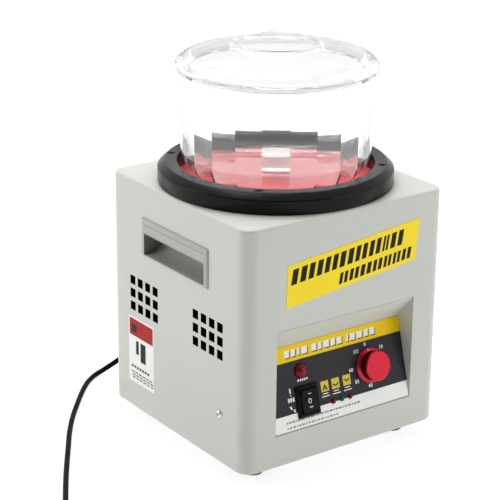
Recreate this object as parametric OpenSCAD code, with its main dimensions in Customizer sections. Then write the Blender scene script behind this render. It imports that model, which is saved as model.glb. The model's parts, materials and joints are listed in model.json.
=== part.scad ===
// Magnetic tumbler: a square sheet-steel case with a turning magnet disc under a clear lidded bowl.
// Millimetres, +Z up, front towards -Y, origin on the floor under the middle of the case.

/* [Case] */
// Width of the case
case_w = 240; // [225:1:260]
// Depth of the case
case_d = 238; // [225:1:260]
// Height of the case without its feet
case_h = 246.5; // [240:0.5:260]
// Radius of the upright corners
corner_r = 15; // [12:1:18]
// Thickness of the case sheet
sheet = 1.5; // [1.2:0.1:2]
// Height of the rubber feet
foot_h = 15; // [12:1:20]
// Distance of each foot from the middle planes
foot_at = 88; // [80:1:92]

/* [Bowl] */
// Outer radius of the bowl wall
bowl_r = 94.4; // [93:0.1:94.6]
// Radius over the corners of the bowl's inner facets
facet_r = 91.7; // [90:0.1:91.8]
// Number of inner facets
facets = 22; // [16:1:24]
// Height of the bowl from its underside to its rim
bowl_h = 111.5; // [90:0.5:120]
// Radius of the bowl's bottom bend
bend_r = 30; // [20:1:32]
// Outer radius of the hollow centre post
post_r = 14; // [11:0.5:16]
// Height of the centre post above the underside
post_h = 26; // [20:1:40]
// Outer radius of the lid
lid_r = 99.8; // [99.5:0.1:102]

/* [Seat ring] */
// Outer radius of the seat ring
ring_r = 117.2; // [115:0.1:118]
// Height of the seat ring
ring_h = 20; // [16:0.5:24]
// Radius of the hole in the seat ring
ring_hole_r = 97.8; // [97.5:0.1:98.5]
// Radius at which the ring's screws stand
ring_screw_r = 105.5; // [105:0.1:106]

/* [Controls] */
// Width of the recess in the front
recess_w = 167.5; // [160:0.5:170]
// Lower edge of the recess above the case's bottom edge
recess_lo = 32.5; // [30:0.5:35]
// Upper edge of the recess above the case's bottom edge
recess_hi = 140.5; // [138:0.5:145]
// Length of the sloping panel
panel_len = 83.3; // [82:0.1:84]
// Lean of the panel from upright
panel_tilt = 15.3; // [14:0.1:16.5]
// Radius of the timer knob's skirt
knob_r = 18.1; // [16:0.1:19]

/* [Hidden] */
$fn = 96;

// Small gaps that keep separate pieces apart
gap = 0.3;
run_fit = 0.05;

// Levels
case_top = foot_h + case_h;
plate_t = 3.5;
mouth_r = 92;
plate_top = case_top + plate_t;
bowl_z = plate_top + gap;
rim_z = bowl_z + bowl_h;
inside_w = case_w - 2 * sheet;
inside_d = case_d - 2 * sheet;

// Direction one of the bowl's inner facets faces
facet_turn = 233.5;

// Side screws, as [side, y] at one height, and the openings in the back
side_screw_at = [[-1, -77], [1, -77], [1, 77]];
side_screw_z = foot_h + 51;
screw_head = [4, 2.6];
rear_bore_r = 6.2;
rear_slot = [5, 22];
rear_slot_pitch = [16, 30];
rear_slot_z = 150;

// Base tray
tray_side_l = 190;
tray_side_h = 62;
tray_slot = [5, 60];
tray_slot_pitch = 14;

// Feet
foot_r = 10.9;
foot_bore_r = 4.5;
foot_bore_h = 8;
m4_r = 2;
m4_hole_r = 2.2;

// Recess and its sloping panel; panel frame is X across, Y up the slope, Z out of the panel
front_y = -case_d / 2;
panel_y = front_y + 0.5;
panel_z = foot_h + recess_lo + 0.7;
tray_t = 1.2;
ceiling_y = panel_y + panel_len * sin(panel_tilt);
ceiling_z = panel_z + panel_len * cos(panel_tilt);
window_hi = foot_h + recess_hi;
ceiling_run = ceiling_y - front_y;
ceiling_rise = window_hi - 0.5 - ceiling_z;
ceiling_lean = atan2(ceiling_rise, ceiling_run);
overlay_t = 0.5;
overlay_w = recess_w - 1;

// Control places on the panel, as [across, up the slope]
knob_at = [40.4, 41.8];
switch_at = [-41, 25.5];
pilot_at = [-44, 55.5];
led_at = [[-10.7, 17], [0, 17], [10.2, 17]];
shaft_r = 3;
bush_r = 5;
bush_hole_r = bush_r + 0.2;
pilot_r = 5;
pilot_hole_r = pilot_r + 0.2;
led_r = 2.45;
led_hole_r = led_r + 0.25;
timer_w = 44;
timer_deep = 30;
nut_h = 1.8;
nut_r = 7.5;
knob_h = 14;
knob_neck_r = 15.1;
knob_skirt_h = 3.4;
knob_hollow_r = 7.9;
knob_hollow_lo = 4.2;
knob_bore_top = 8.1;
rocker_r = 12;
rocker_w = 19;
pivot_out = 2.2;
trunnion_r = 1.2;
switch_body = [22.4, 27.6, 16];
bezel = [27, 32];
bezel_top = [23.5, 27.5];
bezel_h = 3.5;

// Handles, as heights above the floor
grip_z = foot_h + 192.5;
grip_w = 116;
grip_h = 40;
pocket_w = 105;
pocket_lo = foot_h + 175.5;
pocket_hi = foot_h + 197;
pocket_deep = 27;
cup_w = 111.4;
cup_h = 37.4;

// Vents
vent = 9.4;
vent_pitch = [13.8, 14];
vent_y = 56.5;
vent_z = foot_h + 126;
vent_cols = 4;
vent_rows = 3;

// Motor, hung from the case top
motor_r = 45;
motor_lo = 102;
motor_hi = 202;
can_wall = 2;
core_r = 36;
core_lo = 125;
core_h = 54;
cap_h = 12;
bracket_z = 214;
bracket_t = 3;
standoff_r = 6;
standoff_at = ring_screw_r / sqrt(2);
under_top = case_top - sheet;
motor_shaft_r = 6;
motor_screw_at = 25;
motor_screw_l = 10;
bearing_r = 14;
bearing_h = 9;
bearing_fit = 0.03;
fan_z = motor_lo - 28;
shaft_lo = fan_z - 2;
hub_z = 222;
hub_r = 19;
hub_h = 16;
disc_z = 240;
disc_r = 84;
disc_t = 6;
magnet_r = 11;
magnet_t = 8;
magnet_rings = [[32, 4], [66, 8]];

// Cord
cord_r = 2.75;
cord_sides = 10;
gland_x = -40;
gland_z = 50;
relief_len = 26;
coil_at = [-284, -134];
coil_in = 19.6;
coil_out = 39.6;
coil_h = 11.4;
cord_route = [[-40, 147, 49], [-43, 160, 43], [-51, 173, 34], [-61, 184, 23], [-73, 191, 13],
    [-86, 194, 6], [-101, 191, 3], [-117.5, 178.5, 3], [-135, 160, 3], [-155.5, 135.5, 3],
    [-175, 111, 3], [-194, 84, 3], [-212.3, 55, 3], [-231.3, 24.8, 3], [-250.3, -6.2, 3],
    [-269.2, -38.4, 3], [-286.6, -68.6, 3], [-302, -95, 3], [-316, -120, 3]];
tail_route = [[-321, -134, 8], [-321, -146, 8], [-317, -161, 6], [-308, -175, 5], [-295, -185, 6],
    [-281, -189, 9], [-270, -190, 12]];
plug_at = [-270, -190, 12.5];
loom_route = [[-20, 70, 26], [-20, 62, 27], [-23, 56, 35], [-27, 53, 50], [-31, 51, 70],
    [-33, 50, 90], [-34, 50, 110], [-33, 48, 122], [-29, 43, 128], [-24, 36, 130]];

// Repeated shapes

// A plate with round corners, centred on the origin
module rounded_plate(w, d, h, r) {
    translate([-w / 2 + r, -d / 2, 0]) cube([w - 2 * r, d, h]);
    translate([-w / 2, -d / 2 + r, 0]) cube([w, d - 2 * r, h]);
    for (x = [-1, 1], y = [-1, 1])
        translate([x * (w / 2 - r), y * (d / 2 - r), 0]) cylinder(h = h, r = r);
}

// A bar with square ends whose sides all slope in towards the top
module tapered_block(w, l, top_w, top_l, h) {
    intersection() {
        rotate([90, 0, 0]) linear_extrude(l, center = true)
            polygon([[-w / 2, 0], [w / 2, 0], [top_w / 2, h], [-top_w / 2, h]]);
        rotate([90, 0, 90]) linear_extrude(w, center = true)
            polygon([[-l / 2, 0], [l / 2, 0], [top_l / 2, h], [-top_l / 2, h]]);
    }
}

// Puts its children on the sloping panel
module on_panel(at = [0, 0]) {
    translate([0, panel_y, panel_z]) rotate([90 - panel_tilt, 0, 0]) translate([at[0], at[1], 0])
        children();
}

// Where the line through p along d meets the line through q along e
function meet(p, d, q, e) = p + d * (((q - p)[0] * e[1] - (q - p)[1] * e[0]) / (d[0] * e[1] - d[1] * e[0]));

// Copies its children to the four corners of a square
module at_corners(a) {
    for (x = [-1, 1], y = [-1, 1]) translate([x * a, y * a, 0]) children();
}

// Pan-head screw along +Z with its head at the top and its shank below z = 0
module pan_screw(head_r, head_h, shank_r, shank_l) {
    rotate_extrude() polygon([[0, -shank_l], [shank_r, -shank_l], [shank_r, 0], [head_r, 0],
        [head_r, head_h * 0.45], [head_r * 0.8, head_h * 0.85], [head_r * 0.4, head_h], [0, head_h]]);
}

// Tangents of an open route, one for each point
function route_dir(p) = [for (i = [0:len(p) - 1])
    let (a = p[max(i - 1, 0)], b = p[min(i + 1, len(p) - 1)]) (b - a) / norm(b - a)];
function side_of(d) = let (s = cross(d, [0, 0, 1])) s / norm(s);
function ring_of(c, d, r, n) = let (u = side_of(d), v = cross(u, d))
    [for (k = [0:n - 1]) c + r * (cos(360 * k / n) * u + sin(360 * k / n) * v)];

// A round cord along an open route
module cord(route, r, n) {
    dirs = route_dir(route);
    last = len(route) - 1;
    points = [for (i = [0:last]) each ring_of(route[i], dirs[i], r, n)];
    sides = [for (i = [0:last - 1], k = [0:n - 1]) let (m = (k + 1) % n, a = i * n, b = a + n)
        each [[a + k, a + m, b + m], [a + k, b + m, b + k]]];
    first_cap = [for (k = [n - 1:-1:0]) k];
    last_cap = [for (k = [0:n - 1]) last * n + k];
    polyhedron(points, concat([first_cap], sides, [last_cap]), convexity = 4);
}

// Points of a smooth route through the given ones, two for each step
function smooth(p, steps = 2) = let (last = len(p) - 1) concat([for (i = [0:last - 1], k = [0:steps - 1])
    let (a = p[max(i - 1, 0)], b = p[i], c = p[i + 1], d = p[min(i + 2, last)], t = k / steps)
    0.5 * (2 * b + (c - a) * t + (2 * a - 5 * b + 4 * c - d) * t * t + (3 * b - a - 3 * c + d) * t * t * t)],
    [p[last]]);

// Case

module vent_holes() {
    for (side = [-1, 1], y = [-vent_y, vent_y], i = [0:vent_cols - 1], j = [0:vent_rows - 1])
        translate([side * case_w / 2, y + (i - (vent_cols - 1) / 2) * vent_pitch[0],
            vent_z + (j - (vent_rows - 1) / 2) * vent_pitch[1]])
            cube([4 * sheet, vent, vent], center = true);
}

module side_screw_bores(x, r) {
    for (at = side_screw_at) translate([at[0] * x, at[1], side_screw_z]) rotate([0, 90, 0])
        cylinder(h = 4 * sheet, r = r, center = true);
}

module case_shell() {
    color([0.80, 0.81, 0.77]) difference() {
        translate([0, 0, foot_h]) rounded_plate(case_w, case_d, case_h, corner_r);
        translate([0, 0, foot_h - 1])
            rounded_plate(inside_w, inside_d, case_h - sheet + 1, corner_r - sheet);
        translate([0, 0, under_top - 1]) cylinder(h = sheet + 2, r = mouth_r);
        at_corners(standoff_at) translate([0, 0, under_top - 1]) cylinder(h = sheet + 2, r = m4_hole_r);
        translate([-recess_w / 2, front_y - 1, foot_h + recess_lo])
            cube([recess_w, sheet + 2, recess_hi - recess_lo]);
        vent_holes();
        for (side = [-1, 1]) translate([side * case_w / 2, 0, grip_z])
            cube([4 * sheet, cup_w + 2 * gap, cup_h + 2 * gap], center = true);
        side_screw_bores(case_w / 2, m4_hole_r);
        for (side = [-1, 1]) translate([side * gland_x, case_d / 2, gland_z]) rotate([90, 0, 0])
            cylinder(h = 4 * sheet, r = rear_bore_r, center = true);
        for (i = [-4:4], j = [0:1])
            translate([i * rear_slot_pitch[0], case_d / 2, rear_slot_z + j * rear_slot_pitch[1]])
                cube([rear_slot[0], 4 * sheet, rear_slot[1]], center = true);
    }
}

module base_tray() {
    flange_x = inside_w / 2 - gap;
    color([0.62, 0.63, 0.61]) difference() {
        union() {
            translate([0, 0, foot_h])
                rounded_plate(inside_w - 2 * gap, inside_d - 2 * gap, sheet, corner_r - sheet - gap);
            for (side = [-1, 1]) translate([side * (flange_x - sheet / 2), 0, foot_h + tray_side_h / 2])
                cube([sheet, tray_side_l, tray_side_h], center = true);
        }
        at_corners(foot_at) translate([0, 0, foot_h - 1]) cylinder(h = sheet + 2, r = m4_r);
        side_screw_bores(flange_x, m4_r);
        for (i = [-3:3]) translate([i * tray_slot_pitch, 0, foot_h])
            cube([tray_slot[0], tray_slot[1], 4 * sheet], center = true);
    }
}

module foot() {
    color([0.07, 0.07, 0.07]) rotate_extrude() polygon([[foot_bore_r, 0], [foot_r - 1.5, 0],
        [foot_r - 0.5, 1], [foot_r, foot_h], [m4_hole_r, foot_h], [m4_hole_r, foot_bore_h],
        [foot_bore_r, foot_bore_h]]);
}
module foot_front_left() { translate([-foot_at, -foot_at, 0]) foot(); }
module foot_front_right() { translate([foot_at, -foot_at, 0]) foot(); }
module foot_rear_left() { translate([-foot_at, foot_at, 0]) foot(); }
module foot_rear_right() { translate([foot_at, foot_at, 0]) foot(); }

module foot_screws() {
    color("silver") at_corners(foot_at) translate([0, 0, foot_bore_h]) mirror([0, 0, 1])
        pan_screw(screw_head[0], screw_head[1], m4_r, foot_h - foot_bore_h + sheet + 4);
}

module side_screws() {
    color("silver") for (at = side_screw_at) translate([at[0] * case_w / 2, at[1], side_screw_z])
        rotate([0, at[0] * 90, 0]) pan_screw(screw_head[0], screw_head[1], m4_r, 8);
}

// Controls

// Openings for the controls through the panel and its film
module panel_holes() {
    on_panel(knob_at) cylinder(h = 6, r = bush_hole_r, center = true);
    on_panel(switch_at) cube([switch_body[0] + 0.4, switch_body[1] + 0.4, 6], center = true);
    on_panel(pilot_at) cylinder(h = 6, r = pilot_hole_r, center = true);
    for (at = led_at) on_panel(at) cylinder(h = 6, r = led_hole_r, center = true);
}

module control_tray() {
    half = recess_w / 2 + tray_t;
    face_y = front_y + sheet + 0.1;
    back_y = face_y + tray_t;
    flange = 8;
    lo = foot_h + recess_lo;
    up = [sin(panel_tilt), cos(panel_tilt)];
    out = [-cos(ceiling_lean), sin(ceiling_lean)];
    panel_back = [panel_y, panel_z] + tray_t * [up[1], -up[0]];
    ceiling_back = [ceiling_y, ceiling_z] + tray_t * [out[1], -out[0]];
    corner = meet(panel_back, up, ceiling_back, out);
    section = [[face_y, lo - flange], [face_y, panel_z - 0.3], [panel_y, panel_z], [ceiling_y, ceiling_z],
        [front_y + 0.2, window_hi - 0.4], [face_y, window_hi - 0.4], [face_y, window_hi + flange],
        [back_y, window_hi + flange], meet(ceiling_back, out, [back_y, 0], [0, 1]), corner,
        meet(panel_back, up, [back_y, 0], [0, 1]), [back_y, lo - flange]];
    wall = [[face_y, panel_z - 0.3], [face_y, window_hi + flange], [corner[0] + 5, window_hi + flange],
        [corner[0] + 5, corner[1] - 14], [back_y, lo - 2]];
    color([0.72, 0.73, 0.69]) difference() {
        rotate([90, 0, 90]) {
            linear_extrude(2 * half, center = true) polygon(section);
            for (side = [-1, 1]) translate([0, 0, side * (half - tray_t / 2)])
                linear_extrude(tray_t, center = true) polygon(wall);
        }
        panel_holes();
    }
}

module panel_overlay() {
    color([0.22, 0.23, 0.24]) difference() {
        on_panel([0, panel_len / 2]) rounded_plate(overlay_w, panel_len - 1.5, overlay_t, 3);
        panel_holes();
    }
}

// The clockwork timer: a square can with a threaded bush through the panel
module timer_body() {
    color("silver") on_panel(knob_at) difference() {
        union() {
            translate([-timer_w / 2, -timer_w / 2, -timer_deep])
                cube([timer_w, timer_w, timer_deep - tray_t - 0.1]);
            translate([0, 0, -4]) cylinder(h = 6.5, r = bush_r);
        }
        translate([0, 0, -12]) cylinder(h = 20, r = shaft_r + run_fit);
    }
}

module timer_nut() {
    color([0.75, 0.74, 0.7]) on_panel(knob_at) translate([0, 0, overlay_t]) difference() {
        cylinder(h = nut_h, r = nut_r, $fn = 6);
        translate([0, 0, -1]) cylinder(h = 4, r = bush_r);
    }
}

module timer_shaft() {
    color("silver") on_panel(knob_at) translate([0, 0, -11]) cylinder(h = 19, r = shaft_r);
}

module timer_knob() {
    base = overlay_t + 0.5;
    neck = knob_neck_r;
    skirt_top = base + knob_skirt_h;
    color([0.75, 0.12, 0.22]) on_panel(knob_at) rotate_extrude() polygon([[knob_hollow_r, base],
        [knob_r - 0.3, base], [knob_r, base + 1], [neck + 0.5, skirt_top], [neck, skirt_top],
        [neck, knob_h - 1.2], [neck - 1.2, knob_h], [0, knob_h], [0, knob_bore_top],
        [shaft_r, knob_bore_top], [shaft_r, knob_hollow_lo], [knob_hollow_r, knob_hollow_lo]]);
}

// Rocker switch: the pivot runs across the panel
module switch_housing() {
    color([0.06, 0.06, 0.06]) on_panel(switch_at) difference() {
        union() {
            translate([0, 0, overlay_t]) tapered_block(bezel[0], bezel[1], bezel_top[0], bezel_top[1], bezel_h);
            translate([-switch_body[0] / 2, -switch_body[1] / 2, -switch_body[2]])
                cube([switch_body[0], switch_body[1], switch_body[2] + overlay_t]);
        }
        rotate([0, 90, 0]) translate([-pivot_out, 0, 0])
            cylinder(h = rocker_w + 2 * gap, r = rocker_r + gap, center = true);
        translate([-rocker_w / 2 - gap, -rocker_r - gap, pivot_out])
            cube([rocker_w + 2 * gap, 2 * (rocker_r + gap), 10]);
        rotate([0, 90, 0]) translate([-pivot_out, 0, 0])
            cylinder(h = rocker_w + 4, r = trunnion_r + run_fit, center = true);
    }
}

module switch_rocker() {
    color([0.1, 0.1, 0.1]) on_panel(switch_at) {
        intersection() {
            rotate([0, 90, 0]) translate([-pivot_out, 0, 0])
                cylinder(h = rocker_w, r = rocker_r, center = true);
            rotate([90, 0, 90]) linear_extrude(rocker_w, center = true) polygon([[-rocker_r, -2],
                [-11.2, 6.3], [-9.5, 6.5], [-3, 4.9], [3, 4.9], [9.5, 6.5], [11.2, 6.3], [rocker_r, -2]]);
        }
        rotate([0, 90, 0]) translate([-pivot_out, 0, 0])
            cylinder(h = rocker_w + 3, r = trunnion_r, center = true);
    }
}

pilot_rim = 1.2;
pilot_lens_r = 6.9;
module pilot_body() {
    color([0.15, 0.15, 0.15]) on_panel(pilot_at) difference() {
        union() {
            translate([0, 0, -18]) cylinder(h = 18 + overlay_t, r = pilot_r);
            translate([0, 0, overlay_t]) cylinder(h = pilot_rim, r = pilot_lens_r + 0.5);
        }
        translate([0, 0, -12]) cylinder(h = 16, r = 4);
    }
}

module pilot_lens() {
    dome_r = 8.2;
    base = overlay_t + pilot_rim;
    color([0.8, 0.05, 0.05]) on_panel(pilot_at) {
        intersection() {
            translate([0, 0, base]) cylinder(h = 6, r = pilot_lens_r);
            translate([0, 0, base + 4 - dome_r]) sphere(r = dome_r);
        }
        translate([0, 0, -6]) cylinder(h = 6 + base + 0.5, r = 3.9);
    }
}

module led(at) {
    on_panel(at) {
        translate([0, 0, -6]) cylinder(h = 6.6, r = led_r);
        translate([0, 0, 0.6]) sphere(r = led_r);
        for (x = [-1.3, 1.3]) translate([x, 0, -11]) cylinder(h = 6, r = 0.3);
    }
}
module leds_red() { color([0.8, 0.08, 0.08]) { led(led_at[0]); led(led_at[2]); } }
module led_green() { color([0.2, 0.7, 0.25]) led(led_at[1]); }

board_deep = 16;
board_size = [36, 62];
board_mid = [-1, 34];
board_hole = [14, 27];
board_t = 1.6;
post_bore_r = 1.5;
module board_posts() {
    for (x = [-1, 1], y = [-1, 1])
        translate([board_mid[0] + x * board_hole[0], board_mid[1] + y * board_hole[1], 0]) children();
}

module control_board() {
    color([0.1, 0.35, 0.2]) on_panel() difference() {
        translate([board_mid[0], board_mid[1], -board_deep - board_t / 2])
            cube([board_size[0], board_size[1], board_t], center = true);
        board_posts() translate([0, 0, -board_deep - 3]) cylinder(h = 6, r = post_bore_r + 0.2);
    }
}

module board_spacers() {
    color([0.85, 0.83, 0.75]) on_panel() board_posts() translate([0, 0, -board_deep]) difference() {
        cylinder(h = board_deep - tray_t, r = 3);
        translate([0, 0, -1]) cylinder(h = 8, r = post_bore_r);
    }
}

module board_parts() {
    color([0.2, 0.25, 0.5]) on_panel() mirror([0, 0, 1]) translate([0, 0, board_deep + board_t]) {
        translate([-4, 14, 0]) cylinder(h = 20, r = 6);
        translate([9, 12, 0]) cylinder(h = 14, r = 4);
        translate([-8, 28, 0]) cube([14, 16, 12]);
        translate([-12, 48, 0]) cube([22, 9, 10]);
    }
}

module terminal_block() {
    color([0.9, 0.9, 0.86]) translate([-40, 70, foot_h + sheet]) difference() {
        cube([46, 18, 16]);
        for (i = [0:3]) translate([6.5 + i * 11, 9, 6]) cylinder(h = 12, r = 2.6);
    }
}

module wire_loom() {
    color([0.1, 0.1, 0.1]) cord(smooth(loom_route, 3), 2.5, 8);
}

module fuse_holder() {
    color([0.08, 0.08, 0.08]) translate([-gland_x, case_d / 2, gland_z]) rotate([-90, 0, 0]) {
        translate([0, 0, -34]) cylinder(h = 34, r = 6);
        cylinder(h = 2, r = 8.5);
        translate([0, 0, 2]) cylinder(h = 3.6, r = 6.5);
    }
}

// Handles: a moulded cup with a frame, a lip to pull on and a curved back
module handle() {
    lip_lo = pocket_hi - grip_z;
    color([0.70, 0.72, 0.68]) difference() {
        union() {
            translate([case_w / 2, 0, grip_z]) rotate([90, 0, 90])
                tapered_block(grip_w, grip_h, grip_w - 3, grip_h - 3, 2);
            translate([case_w / 2 - pocket_deep, -cup_w / 2, grip_z - cup_h / 2])
                cube([pocket_deep, cup_w, cup_h]);
        }
        translate([case_w / 2 - pocket_deep + 2, -pocket_w / 2, pocket_lo])
            cube([pocket_deep + 6, pocket_w, pocket_hi - pocket_lo]);
        translate([case_w / 2 - pocket_deep + 2, -pocket_w / 2, grip_z + lip_lo - 1])
            cube([pocket_deep - 6, pocket_w, cup_h / 2 - lip_lo - 1]);
    }
}
module handle_right() { handle(); }
module handle_left() { mirror([1, 0, 0]) handle(); }

// Seat ring and plate

module seat_ring() {
    edge = 6.6;
    top = case_top + ring_h;
    lip_r = ring_hole_r + 3.5;
    color([0.04, 0.04, 0.04]) difference() {
        rotate_extrude($fn = 180) polygon(concat([[ring_hole_r, plate_top + 0.1], [lip_r, plate_top + 0.1],
            [lip_r, case_top], [ring_r, case_top]],
            [for (a = [0:15:90]) [ring_r - edge + edge * cos(a), top - edge + edge * sin(a)]],
            [[ring_hole_r + 0.8, top], [ring_hole_r, top - 0.8]]));
        at_corners(standoff_at) {
            translate([0, 0, case_top - 1]) cylinder(h = ring_h + 2, r = m4_hole_r);
            translate([0, 0, top - 3.5]) cylinder(h = 6, r = 4);
        }
    }
}

module ring_screws() {
    color([0.2, 0.2, 0.2]) at_corners(standoff_at) translate([0, 0, case_top + ring_h - 3.5])
        difference() {
            union() {
                cylinder(h = 2.8, r = 3.6);
                translate([0, 0, -28]) cylinder(h = 28.5, r = m4_r);
            }
            translate([0, 0, 1.2]) cylinder(h = 3, r = 1.8, $fn = 6);
        }
}

module seat_plate() {
    color([0.75, 0.2, 0.22]) translate([0, 0, case_top]) cylinder(h = plate_t, r = ring_hole_r + 3.2, $fn = 180);
}

// Motor and rotor

module standoffs() {
    color("silver") at_corners(standoff_at) translate([0, 0, bracket_z + bracket_t]) difference() {
        cylinder(h = under_top - bracket_z - bracket_t, r = standoff_r);
        translate([0, 0, 8]) cylinder(h = 60, r = m4_r);
    }
}

module motor_bracket() {
    color([0.6, 0.62, 0.6]) difference() {
        translate([0, 0, bracket_z]) rounded_plate(2 * standoff_at + 18, 2 * standoff_at + 18, bracket_t, 9);
        translate([0, 0, bracket_z - 1]) cylinder(h = bracket_t + 2, r = 22);
        at_corners(standoff_at) translate([0, 0, bracket_z - 1]) cylinder(h = bracket_t + 2, r = m4_hole_r);
        at_corners(motor_screw_at) translate([0, 0, bracket_z - 1]) cylinder(h = bracket_t + 2, r = m4_hole_r);
    }
}

module motor_can() {
    color([0.3, 0.32, 0.35]) difference() {
        translate([0, 0, motor_lo]) cylinder(h = motor_hi - motor_lo, r = motor_r);
        translate([0, 0, motor_lo - 1]) cylinder(h = motor_hi - motor_lo + 2, r = motor_r - can_wall);
    }
}

module stator() {
    color([0.55, 0.4, 0.3]) translate([0, 0, core_lo]) difference() {
        cylinder(h = core_h, r = motor_r - can_wall);
        translate([0, 0, -1]) cylinder(h = core_h + 2, r = core_r + 1);
    }
}

// An end cap with its bearing seat; the seat opens towards the motor's middle
module motor_cap(seat_h) {
    color([0.7, 0.72, 0.74]) difference() {
        union() {
            cylinder(h = cap_h, r = motor_r);
            translate([0, 0, cap_h]) cylinder(h = seat_h, r = 20);
        }
        translate([0, 0, -1]) cylinder(h = 3, r = motor_r - 6);
        translate([0, 0, -1]) cylinder(h = bearing_h + 3, r = bearing_r);
        translate([0, 0, -1]) cylinder(h = 60, r = motor_shaft_r + 2);
        at_corners(motor_screw_at) translate([0, 0, 4]) cylinder(h = 30, r = m4_r);
    }
}
module motor_cap_upper() { translate([0, 0, motor_hi]) motor_cap(bracket_z - motor_hi - cap_h + 2); }
module motor_cap_lower() { translate([0, 0, motor_lo]) mirror([0, 0, 1]) motor_cap(4); }

module bearing() {
    difference() {
        cylinder(h = bearing_h, r = bearing_r);
        translate([0, 0, -1]) cylinder(h = bearing_h + 2, r = motor_shaft_r + bearing_fit);
    }
}
module bearings() {
    color("lightgrey") {
        translate([0, 0, motor_hi + 2]) bearing();
        translate([0, 0, motor_lo - 2 - bearing_h]) bearing();
    }
}

module motor_shaft() {
    color("silver") translate([0, 0, shaft_lo])
        cylinder(h = disc_z + disc_t + 2 - shaft_lo, r = motor_shaft_r);
}

module armature() {
    color([0.6, 0.35, 0.2]) difference() {
        translate([0, 0, core_lo]) cylinder(h = core_h, r = core_r);
        translate([0, 0, core_lo - 1]) cylinder(h = core_h + 2, r = motor_shaft_r);
        for (a = [0:30:330]) rotate([0, 0, a]) translate([core_r - 2, -1.5, core_lo - 1])
            cube([4, 3, core_h + 2]);
    }
}

module cooling_fan() {
    color([0.2, 0.2, 0.2]) translate([0, 0, fan_z]) difference() {
        union() {
            cylinder(h = 7, r = 11);
            cylinder(h = 1.6, r = 40);
            for (a = [0:40:320]) rotate([0, 0, a]) translate([10, -0.8, 0]) cube([29, 1.6, 7]);
        }
        translate([0, 0, -1]) cylinder(h = 10, r = motor_shaft_r);
    }
}

module magnet_hub() {
    color([0.7, 0.7, 0.72]) difference() {
        union() {
            translate([0, 0, hub_z]) cylinder(h = hub_h, r = hub_r - 4);
            translate([0, 0, disc_z - 4]) cylinder(h = 4, r = hub_r + 8);
        }
        translate([0, 0, hub_z - 1]) cylinder(h = hub_h + 10, r = motor_shaft_r);
        translate([0, 0, hub_z + 6]) rotate([0, 90, 0]) cylinder(h = 30, r = m4_r);
    }
}

module hub_screw() {
    color([0.1, 0.1, 0.1]) translate([motor_shaft_r, 0, hub_z + 6]) rotate([0, 90, 0])
        cylinder(h = 8, r = m4_r);
}

module magnet_places() {
    for (row = magnet_rings, k = [0:row[1] - 1]) rotate([0, 0, 360 * k / row[1]])
        translate([row[0], 0, 0]) children();
}

module magnet_disc() {
    color([0.75, 0.77, 0.8]) difference() {
        translate([0, 0, disc_z]) cylinder(h = disc_t, r = disc_r);
        translate([0, 0, disc_z - 1]) cylinder(h = disc_t + 2, r = motor_shaft_r);
    }
}

module magnets() {
    color([0.35, 0.35, 0.37]) magnet_places() translate([0, 0, disc_z + disc_t])
        cylinder(h = magnet_t, r = magnet_r);
}

module motor_screws() {
    color("silver") at_corners(motor_screw_at) translate([0, 0, bracket_z + bracket_t])
        pan_screw(screw_head[0], screw_head[1], m4_r, motor_screw_l);
}

// Cord, its gland and its plug

module cord_gland() {
    color([0.05, 0.05, 0.05]) translate([gland_x, case_d / 2, gland_z]) rotate([-90, 0, 0])
        rotate_extrude() polygon([[cord_r, -14], [6, -14], [6, 0], [9, 0], [9, 3], [6.5, 5],
            [4.4, relief_len], [cord_r, relief_len]]);
}

module gland_nut() {
    color([0.1, 0.1, 0.1]) translate([gland_x, inside_d / 2, gland_z]) rotate([90, 0, 0]) difference() {
        cylinder(h = 5, r = 10, $fn = 6);
        translate([0, 0, -1]) cylinder(h = 7, r = 6);
    }
}

module cord_run() {
    start = [[gland_x, case_d / 2 + relief_len - 24, gland_z], [gland_x, case_d / 2 + relief_len - 8, gland_z]];
    color([0.05, 0.05, 0.05]) cord(concat(start, smooth(cord_route)), cord_r, cord_sides);
}

module cord_coil() {
    color([0.05, 0.05, 0.05]) translate([coil_at[0], coil_at[1], 0]) rotate_extrude()
        polygon([[coil_in, 2], [coil_in + 2, 0], [coil_out - 2, 0], [coil_out, 2], [coil_out, coil_h - 2],
            [coil_out - 2, coil_h], [coil_in + 2, coil_h], [coil_in, coil_h - 2]]);
}

module cord_tail() { color([0.05, 0.05, 0.05]) cord(smooth(tail_route), cord_r, cord_sides); }

// Two straps round the coil's section
module cord_tie() {
    w = coil_out - coil_in;
    color([0.15, 0.15, 0.16]) for (a = [60, 240])
        translate([coil_at[0], coil_at[1], 0]) rotate([0, 0, a])
            translate([(coil_in + coil_out) / 2, 0, coil_h / 2]) difference() {
                cube([w + 3, 6, coil_h + 2.4], center = true);
                cube([w + 0.8, 8, coil_h], center = true);
                translate([0, 0, -coil_h]) cube([w + 4, 8, coil_h], center = true);
            }
}

module plug_body() {
    color([0.06, 0.06, 0.06]) translate(plug_at) rotate([0, 90, 0]) {
        rotate_extrude() polygon([[0, 0], [4.4, 0], [7.5, 24], [0, 24]]);
        translate([0, 0, 22]) intersection() {
            translate([-12.5, -15, 0]) cube([25, 30, 36]);
            rotate_extrude() polygon([[0, 0], [8, 0], [13.5, 6], [16.5, 14], [16.5, 36], [0, 36]]);
        }
    }
}

module plug_pins() {
    face = plug_at[0] + 58;
    color([0.8, 0.75, 0.55]) {
        for (y = [-6.35, 6.35]) translate([face, plug_at[1] + y - 0.75, plug_at[2] + 1.8])
            cube([16, 1.5, 6.4]);
        translate([face, plug_at[1], plug_at[2] - 6.9]) rotate([0, 90, 0]) cylinder(h = 19, r = 2.4);
    }
}

// Labels

module front_label() {
    lift = 0.4;
    color([0.98, 0.86, 0.16]) translate([0, front_y, foot_h]) rotate([90, 0, 0]) linear_extrude(lift)
        polygon([[-74, 162], [83, 180], [87, 222], [-72.5, 204.5]]);
}

module side_label() {
    color([0.95, 0.95, 0.95]) translate([-case_w / 2 - 0.3, 39, foot_h + 28]) cube([0.3, 47, 72]);
}

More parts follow.
